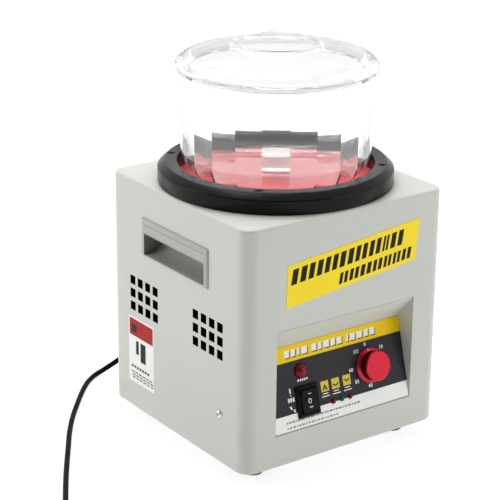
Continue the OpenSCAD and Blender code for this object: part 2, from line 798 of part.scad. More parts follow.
// Bowl and lid

module bowl() {
    wall = 3;
    floor_t = 3.5;
    flange_r = 96.8;
    in_bend = bend_r - wall;
    in_r = bowl_r - wall + 2;
    color([0.9, 0.95, 0.97, 0.5]) translate([0, 0, bowl_z]) difference() {
        rotate_extrude($fn = 180) polygon(concat([[0, post_h - 3], [post_r - 4, post_h - 3],
            [post_r - 2.5, 0]],
            [for (a = [-90:15:0]) [bowl_r - bend_r + bend_r * cos(a), bend_r + bend_r * sin(a)]],
            [[bowl_r, bowl_h - 4], [flange_r, bowl_h - 3.6], [flange_r, bowl_h], [0, bowl_h]]));
        intersection() {
            translate([0, 0, floor_t]) rotate([0, 0, facet_turn + 180 / facets]) linear_extrude(bowl_h)
                polygon([for (k = [0:facets - 1]) facet_r * [cos(360 * k / facets), sin(360 * k / facets)]]);
            rotate_extrude($fn = 180) polygon(concat([[post_r, floor_t], [post_r - 1.2, post_h - 1.5],
                [post_r - 2.7, post_h], [0, post_h], [0, bowl_h + 1], [in_r, bowl_h + 1]],
                [for (a = [0:-15:-90])
                    [in_r - in_bend + in_bend * cos(a), floor_t + in_bend + in_bend * sin(a)]]));
        }
    }
}

module lid() {
    bead = 4;
    dome = 19.2;
    wall = 2.6;
    disc = 45;
    disc_top = dome + 4.5;
    skirt_r = 97.4;
    skirt_deep = 3.5;
    lip = [87.2, 89.4];
    lip_deep = 4;
    function dome_z(r) = dome * sqrt(1 - pow(r / 99.5, 2));
    color([0.9, 0.95, 0.97, 0.5]) translate([0, 0, rim_z + gap]) rotate_extrude($fn = 180)
        polygon(concat([[lid_r, -skirt_deep], [lid_r, bead + 0.5], [lid_r - 1.5, bead + 1.5]],
            [for (r = [94, 88, 80, 70, 58, disc + 1]) [r, dome_z(r) + 2]],
            [[disc, dome_z(disc) + 5], [disc - 2, disc_top], [0, disc_top], [0, disc_top - wall],
                [disc - 4, disc_top - wall]],
            [for (r = [disc - 1, 58, 70, 80, 86]) [r, dome_z(r) + 2 - wall]],
            [[lip[0], 0], [lip[0], -lip_deep], [lip[1], -lip_deep], [lip[1], 0], [skirt_r, 0],
                [skirt_r, -skirt_deep]]));
}

case_shell();
base_tray();
foot_front_left();
foot_front_right();
foot_rear_left();
foot_rear_right();
foot_screws();
side_screws();
control_tray();
panel_overlay();
timer_body();
timer_nut();
timer_shaft();
timer_knob();
switch_housing();
switch_rocker();
pilot_body();
pilot_lens();
leds_red();
led_green();
control_board();
board_spacers();
board_parts();
terminal_block();
handle_left();
handle_right();
seat_ring();
ring_screws();
seat_plate();
standoffs();
motor_bracket();
motor_can();
stator();
motor_cap_upper();
motor_cap_lower();
bearings();
motor_shaft();
armature();
cooling_fan();
magnet_hub();
hub_screw();
magnet_disc();
magnets();
motor_screws();
wire_loom();
fuse_holder();
cord_gland();
gland_nut();
cord_run();
cord_coil();
cord_tail();
cord_tie();
plug_body();
plug_pins();
front_label();
side_label();
bowl();
lid();
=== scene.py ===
"""Looks of the magnetic tumbler: a clear bowl on a black ring, a painted case and its control panel."""
import json
from math import cos, pi, radians, sin, sqrt

import bmesh
import bpy
from mathutils import Matrix, Vector


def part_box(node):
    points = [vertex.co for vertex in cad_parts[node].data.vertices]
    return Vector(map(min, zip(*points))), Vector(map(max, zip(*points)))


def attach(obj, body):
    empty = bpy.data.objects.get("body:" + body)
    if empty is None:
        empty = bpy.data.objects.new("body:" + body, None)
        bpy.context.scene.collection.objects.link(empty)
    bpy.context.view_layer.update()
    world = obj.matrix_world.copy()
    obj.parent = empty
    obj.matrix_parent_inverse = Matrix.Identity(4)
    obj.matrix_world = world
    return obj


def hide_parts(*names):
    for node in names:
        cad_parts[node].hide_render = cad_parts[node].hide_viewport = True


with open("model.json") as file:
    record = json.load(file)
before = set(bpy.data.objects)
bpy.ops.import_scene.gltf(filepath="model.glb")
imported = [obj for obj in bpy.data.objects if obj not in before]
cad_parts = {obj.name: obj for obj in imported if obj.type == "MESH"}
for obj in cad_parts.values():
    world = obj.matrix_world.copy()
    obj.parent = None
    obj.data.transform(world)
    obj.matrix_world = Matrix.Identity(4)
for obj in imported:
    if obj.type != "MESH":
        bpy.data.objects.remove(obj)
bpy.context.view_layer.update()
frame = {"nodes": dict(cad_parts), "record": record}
NODES = frame["nodes"]
MM = 0.001


# ---------------------------------------- camera and cord

CAMERA_AT = (-0.9874, -1.3270, 0.7805)
CAMERA_YAW, CAMERA_PITCH, CAMERA_ROLL = 35.80, 19.79, 0.58
CAMERA_LENS = 125.57


def make_camera():
    """The camera looks to the right and down at the case's front left corner."""
    data = bpy.data.cameras.new("camera")
    data.lens = CAMERA_LENS
    data.sensor_width = 36
    data.clip_end = 20
    camera = bpy.data.objects.new("camera", data)
    bpy.context.scene.collection.objects.link(camera)
    turn = Matrix.Rotation(radians(-CAMERA_YAW), 4, "Z")
    tilt = Matrix.Rotation(radians(90 - CAMERA_PITCH), 4, "X")
    roll = Matrix.Rotation(radians(CAMERA_ROLL), 4, "Z")
    camera.matrix_world = Matrix.Translation(CAMERA_AT) @ turn @ tilt @ roll
    bpy.context.scene.camera = camera


# The lead's route, in millimetres: out of the gland, down to the floor, along it, and into the coil.
CORD_R = 2.75
CORD_EXIT = (-40, 145, 50)
CORD_START = [(-40, 139, 50)]
CORD_ROUTE = [(-40, 147, 49), (-43, 160, 43), (-51, 173, 34), (-61, 184, 23), (-73, 191, 13),
              (-86, 194, 6), (-101, 191, 3), (-117.5, 178.5, 3), (-135, 160, 3), (-155.5, 135.5, 3),
              (-175, 111, 3), (-194, 84, 3), (-212.3, 55, 3), (-231.3, 24.8, 3), (-250.3, -6.2, 3),
              (-269.2, -38.4, 3), (-286.6, -68.6, 3), (-302, -95, 3)]
TAIL_ROUTE = [(-321, -146, 8), (-317, -161, 6), (-308, -175, 5), (-295, -185, 6),
              (-281, -189, 9), (-268, -190, 12.3)]
# The coil: its middle, where it starts and ends in degrees, its radii, and its two layers.
COIL_AT = (-284, -134)
COIL_TURNS = 5
COIL_FIRST, COIL_LAST = 150, 150 + 360 * COIL_TURNS + 30
COIL_OUT, COIL_IN = 36.7, 23.3
LOW_TURNS, RISE_TURNS = 2.4, 0.25
LOW_Z, HIGH_Z = 3.0, 8.6
POINTS_PER_TURN = 36
ROUTE_STEPS = 5


def shift(x, y, z):
    """A move, in millimetres."""
    return Matrix.Translation(Vector((x, y, z)) * MM)


def link(thing):
    """Puts an object in the scene."""
    bpy.context.scene.collection.objects.link(thing)
    return thing


def ease(t):
    """Smooth step from 0 to 1."""
    t = min(max(t, 0), 1)
    return t * t * (3 - 2 * t)


def coil_points():
    """Turns that wind inwards on the floor, climb, and wind outwards on top of themselves."""
    total = (COIL_LAST - COIL_FIRST) / 360
    high_turns = total - LOW_TURNS - RISE_TURNS
    steps = int(total * POINTS_PER_TURN)
    points = []
    for step in range(steps + 1):
        t = total * step / steps
        angle = radians(COIL_FIRST + 360 * t)
        if t < LOW_TURNS:
            r = COIL_OUT + (COIL_IN - COIL_OUT) * t / LOW_TURNS
        elif t < LOW_TURNS + RISE_TURNS:
            r = COIL_IN
        else:
            r = COIL_IN + (COIL_OUT - COIL_IN) * (t - LOW_TURNS - RISE_TURNS) / high_turns
        z = LOW_Z + (HIGH_Z - LOW_Z) * ease((t - LOW_TURNS) / RISE_TURNS)
        points.append((COIL_AT[0] + r * cos(angle), COIL_AT[1] + r * sin(angle), z))
    return points


def smooth_route(points):
    """A Catmull-Rom line through the points."""
    p = [Vector(q) for q in points]
    line = []
    for i in range(len(p) - 1):
        a, b, c, d = p[max(i - 1, 0)], p[i], p[i + 1], p[min(i + 2, len(p) - 1)]
        for k in range(ROUTE_STEPS):
            t = k / ROUTE_STEPS
            line.append(0.5 * (2 * b + (c - a) * t + (2 * a - 5 * b + 4 * c - d) * t ** 2
                               + (3 * b - a - 3 * c + d) * t ** 3))
    return line + [p[-1]]


def make_cord():
    """One spline from the gland, along the floor, round the coil and into the plug."""
    coil = coil_points()
    run = smooth_route(CORD_START + CORD_ROUTE + coil[:1])
    tail = smooth_route(coil[-1:] + TAIL_ROUTE)
    line = [Vector(q) * MM for q in run[:-1] + coil[:-1] + tail]
    curve = bpy.data.curves.new("mains_lead", "CURVE")
    curve.dimensions = "3D"
    curve.bevel_depth = CORD_R * MM
    curve.bevel_resolution = 5
    curve.use_fill_caps = True
    spline = curve.splines.new("POLY")
    spline.points.add(len(line) - 1)
    for point, at in zip(spline.points, line):
        point.co = (*at, 1)
    spline.use_smooth = True
    cord = link(bpy.data.objects.new("mains_lead", curve))
    length = sum((b - a).length for a, b in zip(line, line[1:]))
    return cord, length


# ---------------------------------------- materials

def node_material(name, color, rough, metal=0.0, **inputs):
    """A Principled material and its shader."""
    material = bpy.data.materials.new(name)
    material.use_nodes = True
    shader = material.node_tree.nodes["Principled BSDF"]
    shader.inputs["Base Color"].default_value = (*color, 1)
    shader.inputs["Roughness"].default_value = rough
    shader.inputs["Metallic"].default_value = metal
    for key, value in inputs.items():
        shader.inputs[key.replace("_", " ")].default_value = value
    return material


def feed(tree, source, name):
    """Links a value to one of the shader's inputs."""
    tree.links.new(source, tree.nodes["Principled BSDF"].inputs[name])


def coordinates(tree, stretch=(1, 1, 1)):
    """The piece's own coordinates, in metres, stretched."""
    place = tree.nodes.new("ShaderNodeTexCoord")
    scale = tree.nodes.new("ShaderNodeMapping")
    scale.inputs["Scale"].default_value = stretch
    tree.links.new(place.outputs["Object"], scale.inputs["Vector"])
    return scale.outputs["Vector"]


def noise(tree, scale, detail=3.0, stretch=(1, 1, 1)):
    """A noise pattern on the piece."""
    texture = tree.nodes.new("ShaderNodeTexNoise")
    texture.inputs["Scale"].default_value = scale
    texture.inputs["Detail"].default_value = detail
    tree.links.new(coordinates(tree, stretch), texture.inputs["Vector"])
    return texture.outputs["Fac"]


def grain(material, scale, depth, detail=3.0, stretch=(1, 1, 1)):
    """A fine surface grain as bump, depth in millimetres."""
    tree = material.node_tree
    bump = tree.nodes.new("ShaderNodeBump")
    bump.inputs["Strength"].default_value = 1.0
    bump.inputs["Distance"].default_value = depth * MM
    tree.links.new(noise(tree, scale, detail, stretch), bump.inputs["Height"])
    feed(tree, bump.outputs["Normal"], "Normal")
    return material


def ramp(tree, source, stops, constant=False):
    """Colours or grey values along a 0 to 1 source."""
    node = tree.nodes.new("ShaderNodeValToRGB")
    if constant:
        node.color_ramp.interpolation = "CONSTANT"
    elements = node.color_ramp.elements
    while len(elements) < len(stops):
        elements.new(0.5)
    for element, (at, color) in zip(elements, stops):
        element.position = at
        element.color = (*color, 1)
    tree.links.new(source, node.inputs["Fac"])
    return node.outputs["Color"]


def mottle(material, dark, light, scale, detail=4.0, stretch=(1, 1, 1)):
    """Slow colour variation between two tones."""
    tree = material.node_tree
    colors = ramp(tree, noise(tree, scale, detail, stretch), [(0.35, dark), (0.65, light)])
    feed(tree, colors, "Base Color")
    return material


def uneven_gloss(material, low, high, scale, stretch=(1, 1, 1)):
    """Roughness that drifts between two values."""
    tree = material.node_tree
    values = ramp(tree, noise(tree, scale, 3.0, stretch), [(0.3, grey(low)), (0.7, grey(high))])
    feed(tree, values, "Roughness")
    return material


def scaled(color, factor):
    """The colour times a factor."""
    return tuple(c * factor for c in color)


def grey(value):
    """A neutral colour."""
    return (value, value, value)


def make_materials():
    """One material for each slot of the record, and a few for printed marks."""
    made = {}

    def add(name, color, rough, metal=0.0, vary=0.03, vary_scale=60, grain_scale=900, depth=0.01,
            gloss=None, stretch=(1, 1, 1), shine=0.5, **inputs):
        """A material with a slow change of tone, a fine grain and, with gloss, uneven roughness."""
        material = node_material(name, color, rough, metal, Specular_IOR_Level=shine, **inputs)
        mottle(material, scaled(color, 1 - vary), scaled(color, 1 + vary), vary_scale, stretch=stretch)
        grain(material, grain_scale, depth, stretch=stretch)
        if gloss:
            uneven_gloss(material, *gloss, vary_scale * 2, stretch)
        made[name] = material

    add("case_paint", (0.565, 0.585, 0.530), 0.42, vary=0.012, vary_scale=9, depth=0.02,
        gloss=(0.38, 0.46))
    add("zinc_sheet", (0.62, 0.63, 0.62), 0.36, 1.0, vary=0.10, grain_scale=500, gloss=(0.28, 0.45))
    add("rubber", (0.020, 0.020, 0.021), 0.72, vary=0.2, vary_scale=80, grain_scale=1500, depth=0.03)
    add("steel", (0.72, 0.72, 0.71), 0.24, 1.0, vary=0.05, vary_scale=90, grain_scale=1200, depth=0.006,
        gloss=(0.18, 0.32))
    add("dark_steel", (0.035, 0.035, 0.037), 0.38, 0.7, vary=0.15, vary_scale=120, depth=0.008)
    add("knob_red", (0.57, 0.018, 0.038), 0.30, 0.75, vary=0.02, vary_scale=40, grain_scale=1500,
        depth=0.001)
    # A darker red for the knob's neck: painted shade.
    add("knob_neck_painted_shade", (0.10, 0.003, 0.006), 0.36, 0.6, vary=0.1, vary_scale=200, grain_scale=1500,
        depth=0.001)
    # Near black for the case's inside and the cut edges of its openings: painted shade.
    add("case_inside_painted_shade", (0.012, 0.012, 0.011), 0.6, vary=0.1, vary_scale=20, depth=0.02, shine=0.06)
    add("black_plastic", (0.005, 0.005, 0.005), 0.34, vary=0.12, grain_scale=1800, depth=0.006,
        gloss=(0.28, 0.40), shine=0.09)
    add("board_green", (0.02, 0.16, 0.07), 0.35, vary=0.2, vary_scale=200, grain_scale=700)
    add("component_dark", (0.05, 0.06, 0.16), 0.45, vary=0.1, vary_scale=120)
    add("nylon", (0.78, 0.77, 0.70), 0.5, vary=0.04, vary_scale=80, grain_scale=1200)
    add("grey_plastic", (0.400, 0.415, 0.375), 0.44, vary=0.015, vary_scale=15, grain_scale=1600,
        depth=0.018, gloss=(0.40, 0.50))
    # A darker grey for the end walls of the pulls' pockets: painted shade.
    add("grey_painted_shade", (0.17, 0.175, 0.155), 0.5, vary=0.02, vary_scale=15, grain_scale=1600,
        depth=0.018, shine=0.3)
    add("ring_black", (0.003, 0.003, 0.003), 0.22, vary=0.1, vary_scale=50, grain_scale=1400,
        depth=0.002, gloss=(0.19, 0.24), shine=0.14)
    add("plate_red", (0.62, 0.055, 0.065), 0.22, vary=0.04, vary_scale=20, grain_scale=600, depth=0.004,
        gloss=(0.18, 0.28))
    add("motor_dark", (0.045, 0.05, 0.06), 0.45, vary=0.1, vary_scale=50, grain_scale=700, depth=0.03)
    add("cast_alloy", (0.58, 0.59, 0.60), 0.42, 1.0, vary=0.08, vary_scale=90, grain_scale=700,
        depth=0.02)
    add("copper", (0.42, 0.20, 0.10), 0.4, 0.8, vary=0.25, vary_scale=240, depth=0.05,
        stretch=(1, 1, 0.1))
    add("magnet_grey", (0.07, 0.07, 0.075), 0.5, vary=0.15, vary_scale=120, depth=0.02)
    add("cord_black", (0.004, 0.004, 0.004), 0.42, vary=0.15, grain_scale=1600, depth=0.015,
        gloss=(0.36, 0.5), shine=0.04)
    add("tie_black", (0.018, 0.018, 0.018), 0.6, vary=0.2, vary_scale=200, grain_scale=2500, depth=0.05)
    add("pin_brass", (0.72, 0.62, 0.38), 0.25, 1.0, vary=0.06, vary_scale=80, grain_scale=1200,
        depth=0.006)
    add("label_yellow", (0.96, 0.73, 0.016), 0.36, vary=0.015, vary_scale=25, depth=0.002, shine=0.2)
    add("label_white", (0.86, 0.86, 0.84), 0.40, vary=0.012, vary_scale=25, depth=0.002, shine=0.2)
    for ink, color, shine, vary in (("black", (0.006, 0.006, 0.006), 0.15, 0.10),
                                    ("white", (0.90, 0.90, 0.89), 0.20, 0.02),
                                    ("yellow", (0.74, 0.58, 0.06), 0.20, 0.03),
                                    ("grey", (0.28, 0.27, 0.26), 0.20, 0.05),
                                    ("red", (0.40, 0.012, 0.009), 0.12, 0.03)):
        add(f"print_{ink}", color, 0.40, shine=shine, vary=vary, depth=0.003)
    for name, color in (("lamp_red", (0.25, 0.003, 0.006)), ("lamp_green", (0.01, 0.15, 0.05))):
        add(name, color, 0.16, vary=0.1, vary_scale=300, depth=0.004, shine=0.2,
            Transmission_Weight=0.15)
    made["clear_plastic"] = clear_plastic("clear_plastic", bend=1.58, tone=0.95, edge=0.66)
    made["clear_lid"] = clear_plastic("clear_lid", bend=1.13, tone=0.86, edge=0.55, coat=0.3)
    add("clear_frost", (0.90, 0.87, 0.82), 0.35, vary=0.03, vary_scale=120, depth=0.02, IOR=1.5,
        Transmission_Weight=0.55)
    made["panel_print"] = panel_print("panel_print")
    return made


def clear_plastic(name, bend, tone, edge, coat=0.0):
    """Clear plastic with painted shade, greyer where it is seen along its surface, that lets the lamps
    shine through.
    """
    material = node_material(name, grey(tone), 0.012, IOR=bend, Transmission_Weight=1.0,
                             Coat_Weight=coat, Coat_Roughness=0.02, Coat_IOR=1.5)
    # A slow, shallow wave, as a moulding has.
    grain(material, scale=22, depth=0.06, detail=1.0)
    tree = material.node_tree
    # Painted shade: the colour goes from tone to the darker edge grey where the surface is seen
    # edge-on.
    weight = tree.nodes.new("ShaderNodeLayerWeight")
    tones = ramp(tree, weight.outputs["Facing"], [(0.60, grey(tone)), (0.95, grey(edge))])
    feed(tree, tones, "Base Color")
    path = tree.nodes.new("ShaderNodeLightPath")
    clear = tree.nodes.new("ShaderNodeBsdfTransparent")
    clear.inputs["Color"].default_value = (0.96, 0.965, 0.965, 1)
    mix = tree.nodes.new("ShaderNodeMixShader")
    tree.links.new(path.outputs["Is Shadow Ray"], mix.inputs[0])
    tree.links.new(tree.nodes["Principled BSDF"].outputs[0], mix.inputs[1])
    tree.links.new(clear.outputs[0], mix.inputs[2])
    tree.links.new(mix.outputs[0], tree.nodes["Material Output"].inputs["Surface"])
    return material


# The panel film's length up its slope, and where its white band ends and its yellow band starts.
PANEL_LEN = 83.3
BAND_WHITE, BAND_YELLOW = 16.0, 67.0


def panel_print(name):
    """White, charcoal and yellow bands up the panel film, in the film's own frame."""
    material = node_material(name, (0.05, 0.05, 0.05), 0.34, Specular_IOR_Level=0.14)
    tree = material.node_tree
    split = tree.nodes.new("ShaderNodeSeparateXYZ")
    tree.links.new(coordinates(tree, (1, 1 / (PANEL_LEN * MM), 1)), split.inputs["Vector"])
    stops = [(0, (0.93, 0.93, 0.91)), (BAND_WHITE / PANEL_LEN, (0.032, 0.031, 0.037)),
             (BAND_YELLOW / PANEL_LEN, (0.93, 0.62, 0.002))]
    bands = ramp(tree, split.outputs["Y"], stops, constant=True)
    feed(tree, bands, "Base Color")
    grain(material, 900, 0.004)
    return material


# ---------------------------------------- mesh building, in millimetres

def new_piece(name, verts, faces, material, body, slot, replaces=(), place=None, sharp=32):
    """A shaded mesh piece from points in millimetres that rides on a body."""
    mesh = bpy.data.meshes.new(name)
    mesh.from_pydata([Vector(v) * MM for v in verts], [], faces)
    piece = link(bpy.data.objects.new(name, mesh))
    return dress(piece, material, body, replaces, place, sharp)


def dress(piece, material, body, replaces=(), place=None, sharp=32):
    """Orients a piece's faces, shades it, and gives it its material, place and body."""
    tidy_normals(piece.data)
    piece.data.materials.clear()
    piece.data.materials.append(MATERIALS[material])
    piece.data.shade_smooth()
    piece.data.set_sharp_from_angle(angle=radians(sharp))
    if place:
        piece.matrix_world = place
    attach(piece, body)
    if replaces:
        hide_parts(*replaces)
    return piece


def second_material(piece, name, where):
    """Gives another material to the faces whose middle, in millimetres, passes a test."""
    piece.data.materials.append(MATERIALS[name])
    for face in piece.data.polygons:
        if where(face.center / MM):
            face.material_index = 1


def tidy_normals(mesh):
    """Joins points that coincide, and turns all faces outwards."""
    work = bmesh.new()
    work.from_mesh(mesh)
    bmesh.ops.remove_doubles(work, verts=work.verts, dist=1e-6)
    bmesh.ops.recalc_face_normals(work, faces=work.faces)
    work.to_mesh(mesh)
    work.free()


def loose(name, verts, faces):
    """A helper mesh object that isn't part of the result."""
    mesh = bpy.data.meshes.new(name)
    mesh.from_pydata([Vector(v) * MM for v in verts], [], faces)
    tidy_normals(mesh)
    return link(bpy.data.objects.new(name, mesh))


def cut(piece, cutter, operation="DIFFERENCE"):
    """Takes the cutter away from the piece, or joins it on with UNION, and removes the cutter."""
    modifier = piece.modifiers.new("cut", "BOOLEAN")
    modifier.operation = operation
    modifier.solver = "EXACT"
    modifier.object = cutter
    bpy.context.view_layer.update()
    graph = bpy.context.evaluated_depsgraph_get()
    result = bpy.data.meshes.new_from_object(piece.evaluated_get(graph))
    piece.modifiers.clear()
    piece.data = result
    bpy.data.objects.remove(cutter)
    return piece


def round_edges(piece, width, segments=3, angle=35):
    """Bevels a piece's sharp edges, width in millimetres, and keeps its flats shaded flat."""
    bevel = piece.modifiers.new("round_edges", "BEVEL")
    bevel.width = width * MM
    bevel.segments = segments
    bevel.limit_method = "ANGLE"
    bevel.angle_limit = radians(angle)
    bevel.harden_normals = True
    return piece


def rounded_outline(w, d, r, n=10, mid=(0, 0)):
    """Points round a rectangle with round corners."""
    points = []
    for i, (x, y) in enumerate(((1, 1), (-1, 1), (-1, -1), (1, -1))):
        for k in range(n + 1):
            a = radians(90 * (i + k / n))
            points.append((mid[0] + x * (w / 2 - r) + r * cos(a),
                           mid[1] + y * (d / 2 - r) + r * sin(a)))
    return points


def stack(outlines):
    """Points and faces of a closed solid through (outline, z) levels of equal counts."""
    n = len(outlines[0][0])
    verts = [(x, y, z) for outline, z in outlines for x, y in outline]
    faces = []
    for i in range(len(outlines) - 1):
        for k in range(n):
            m = (k + 1) % n
            faces.append((i * n + k, i * n + m, (i + 1) * n + m, (i + 1) * n + k))
    faces.append(tuple(reversed(range(n))))
    faces.append(tuple(range((len(outlines) - 1) * n, len(outlines) * n)))
    return verts, faces


def revolve(profile, segments=96, shape=None, start=0.0):
    """Points and faces of a solid of revolution about Z. A radius of 0 is a point on the axis.
    shape(i, angle) is a factor on the radius of profile point i at an angle from the start."""
    verts, faces, rings = [], [], []
    for i, (r, z) in enumerate(profile):
        count = segments if r else 1
        rings.append(list(range(len(verts), len(verts) + count)))
        for k in range(count):
            a = 2 * pi * k / segments
            held = r if shape is None else r * shape(i, a)
            verts.append((held * cos(a + start), held * sin(a + start), z))
    for i, low in enumerate(rings):
        high = rings[(i + 1) % len(rings)]
        for k in range(segments):
            m = (k + 1) % segments
            if len(low) == 1 and len(high) == 1:
                continue
            if len(low) == 1:
                faces.append((low[0], high[k], high[m]))
            elif len(high) == 1:
                faces.append((low[k], high[0], low[m]))
            else:
                faces.append((low[k], high[k], high[m], low[m]))
    return verts, faces


def arc(mid, r, start, end, n):
    """Points of an arc, angles in degrees."""
    angles = [radians(start + (end - start) * k / n) for k in range(n + 1)]
    return [(mid[0] + r * cos(a), mid[1] + r * sin(a)) for a in angles]


def prisms(outlines, low, high):
    """Points and faces of many upright prisms over flat outlines."""
    verts, faces = [], []
    for outline in outlines:
        start, n = len(verts), len(outline)
        verts += [(x, y, low) for x, y in outline] + [(x, y, high) for x, y in outline]
        faces.append(tuple(start + k for k in reversed(range(n))))
        faces.append(tuple(start + n + k for k in range(n)))
        for k in range(n):
            m = (k + 1) % n
            faces.append((start + k, start + m, start + n + m, start + n + k))
    return verts, faces


def boxes(items):
    """Points and faces of boxes given as (mid, size)."""
    verts, faces = [], []
    for mid, size in items:
        outline = [(mid[0] + x * size[0] / 2, mid[1] + y * size[1] / 2)
                   for x, y in ((-1, -1), (1, -1), (1, 1), (-1, 1))]
        v, f = prisms([outline], mid[2] - size[2] / 2, mid[2] + size[2] / 2)
        faces += [tuple(len(verts) + k for k in face) for face in f]
        verts += v
    return verts, faces


def bar(x0, y0, x1, y1, lean=0.0):
    """A flat bar's outline whose top is shifted sideways by lean."""
    return [(x0, y0), (x1, y0), (x1 + lean, y1), (x0 + lean, y1)]


def disc_outline(x, y, r, n=24):
    """Points round a circle."""
    return [(x + r * cos(2 * pi * k / n), y + r * sin(2 * pi * k / n))
            for k in range(n)]


# ---------------------------------------- sizes from the frame

def span(node):
    """The low and high corners of a CAD node's box, in millimetres."""
    low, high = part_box(node)
    return low / MM, high / MM


case_lo, case_hi = span("case_shell")
ring_lo, ring_hi = span("seat_ring")
bowl_lo, bowl_hi = span("bowl")
lid_hi = span("lid")[1]
CASE_W, CASE_D = case_hi.x - case_lo.x, case_hi.y - case_lo.y
FLOOR_GAP, CASE_TOP = case_lo.z, case_hi.z
CORNER_R, SHEET, FOLD_R = 15.0, 1.5, 3.0
# The recess in the front, and the sloping panel in it. Heights are from the case's lower edge.
RECESS_W, RECESS_LO, RECESS_HI = 167.5, 32.5, 140.5
PANEL_TILT = 15.3
# Frames of the panel, the front and the left side: across, up and out of each face.
UPRIGHT = Matrix.Rotation(pi / 2, 4, "X")
PANEL = shift(0, case_lo.y + 0.5, FLOOR_GAP + RECESS_LO + 0.7)
PANEL = PANEL @ Matrix.Rotation(radians(90 - PANEL_TILT), 4, "X")
FRONT = shift(0, case_lo.y, FLOOR_GAP) @ UPRIGHT
LEFT = shift(case_lo.x, 0, FLOOR_GAP) @ Matrix.Rotation(-pi / 2, 4, "Z") @ UPRIGHT
# Places on the panel: across from its middle, and up its slope.
KNOB_AT, SWITCH_AT, PILOT_AT = (40.4, 41.8), (-41.0, 25.5), (-44.0, 55.5)
LED_AT = ((-10.7, 17.0), (0.0, 17.0), (10.2, 17.0))
FILM = 0.5


def on_panel(x, s, out=0.0):
    """A place on the panel: across, up the slope and out, in millimetres."""
    return PANEL @ shift(x, s, out)


# ---------------------------------------- case

# Square vents in groups of four by three, one group before and one behind the middle of each side.
VENT, VENT_PITCH, VENT_Y, VENT_Z = 9.4, (13.8, 14.0), 56.5, 126.0
GRIP_Z, GRIP_W, GRIP_H = 192.5, 116.0, 40.0
REAR_SLOT_W, REAR_SLOT_H, REAR_SLOT_PITCH, REAR_SLOT_ROWS = 5, 22, 16, (150, 180)
REAR_HOLE_X, REAR_HOLE_Z, REAR_HOLE_R = (-40, 40), 50, 6.3
MOUTH_R = 92


def inner_face(at, size):
    """True inside the case's inner surfaces, its round corners included."""
    out = Vector((max(abs(at.x) - size[0] + CORNER_R, 0), max(abs(at.y) - size[1] + CORNER_R, 0)))
    return abs(at.x) < size[0] and abs(at.y) < size[1] and at.z < size[2] and out.length < CORNER_R


def case_openings():
    """Boxes for the recess, the side pulls, the vents and the rear slots, as (mid, size)."""
    through = 4 * SHEET
    holes = [((0, case_lo.y, FLOOR_GAP + (RECESS_LO + RECESS_HI) / 2),
              (RECESS_W, through, RECESS_HI - RECESS_LO))]
    for x in (case_lo.x, case_hi.x):
        holes.append(((x, 0, FLOOR_GAP + GRIP_Z), (through, GRIP_W - 4, GRIP_H - 2)))
        for y in (-VENT_Y, VENT_Y):
            for i in range(4):
                for j in range(3):
                    across, up = y + (i - 1.5) * VENT_PITCH[0], VENT_Z + (j - 1) * VENT_PITCH[1]
                    holes.append(((x, across, FLOOR_GAP + up), (through, VENT, VENT)))
    for i in range(-4, 5):
        for z in REAR_SLOT_ROWS:
            holes.append(((i * REAR_SLOT_PITCH, case_hi.y, z), (REAR_SLOT_W, through, REAR_SLOT_H)))
    return holes


def make_case():
    """The folded and welded case: round upright corners, a soft top fold and sharp cut-outs."""
    levels = [(rounded_outline(CASE_W - 1, CASE_D - 1, CORNER_R - 0.5), FLOOR_GAP),
              (rounded_outline(CASE_W, CASE_D, CORNER_R), FLOOR_GAP + 0.5)]
    for k in range(7):
        a = radians(15 * k)
        inset = FOLD_R * (1 - cos(a))
        levels.append((rounded_outline(CASE_W - 2 * inset, CASE_D - 2 * inset, CORNER_R - inset),
                       CASE_TOP - FOLD_R * (1 - sin(a))))
    shell = loose("case_skin", *stack(levels))
    hollow = [(rounded_outline(CASE_W - 2 * SHEET, CASE_D - 2 * SHEET, CORNER_R - SHEET), z)
              for z in (FLOOR_GAP - 5, CASE_TOP - SHEET)]
    cut(shell, loose("hollow", *stack(hollow)))
    cut(shell, loose("holes", *boxes(case_openings())))
    cut(shell, loose("mouth", *prisms([disc_outline(0, 0, MOUTH_R, 96)], CASE_TOP - 6, CASE_TOP + 4)))
    for x in REAR_HOLE_X:
        outline = disc_outline(x, -REAR_HOLE_Z, REAR_HOLE_R)
        hole = loose("rear_hole", *prisms([outline], case_hi.y - 6, case_hi.y + 4))
        hole.matrix_world = Matrix.Rotation(-pi / 2, 4, "X")
        cut(shell, hole)
    dress(shell, "case_paint", "case", ("case_shell",), sharp=28)
    inside = CASE_W / 2 - 0.9 * SHEET, CASE_D / 2 - 0.9 * SHEET, CASE_TOP - 0.9 * SHEET
    outside = CASE_W / 2 - 0.2

    def cut_edge_painted_shade(at):
        """True on the cut edges of the openings in the sides, which get painted shade."""
        in_sheet = inside[0] <= abs(at.x) < outside
        return in_sheet and abs(at.y) < CASE_D / 2 - CORNER_R and at.z < CASE_TOP - 20

    # The shell's inside and the cut edges of its openings are painted near black: painted shade inside
    # the case.
    second_material(shell, "case_inside_painted_shade", lambda at: inner_face(at, inside) or cut_edge_painted_shade(at))


CUP_W, CUP_H, CUP_DEPTH, POCKET_W = 111.0, 37.0, 27.0, 105.0


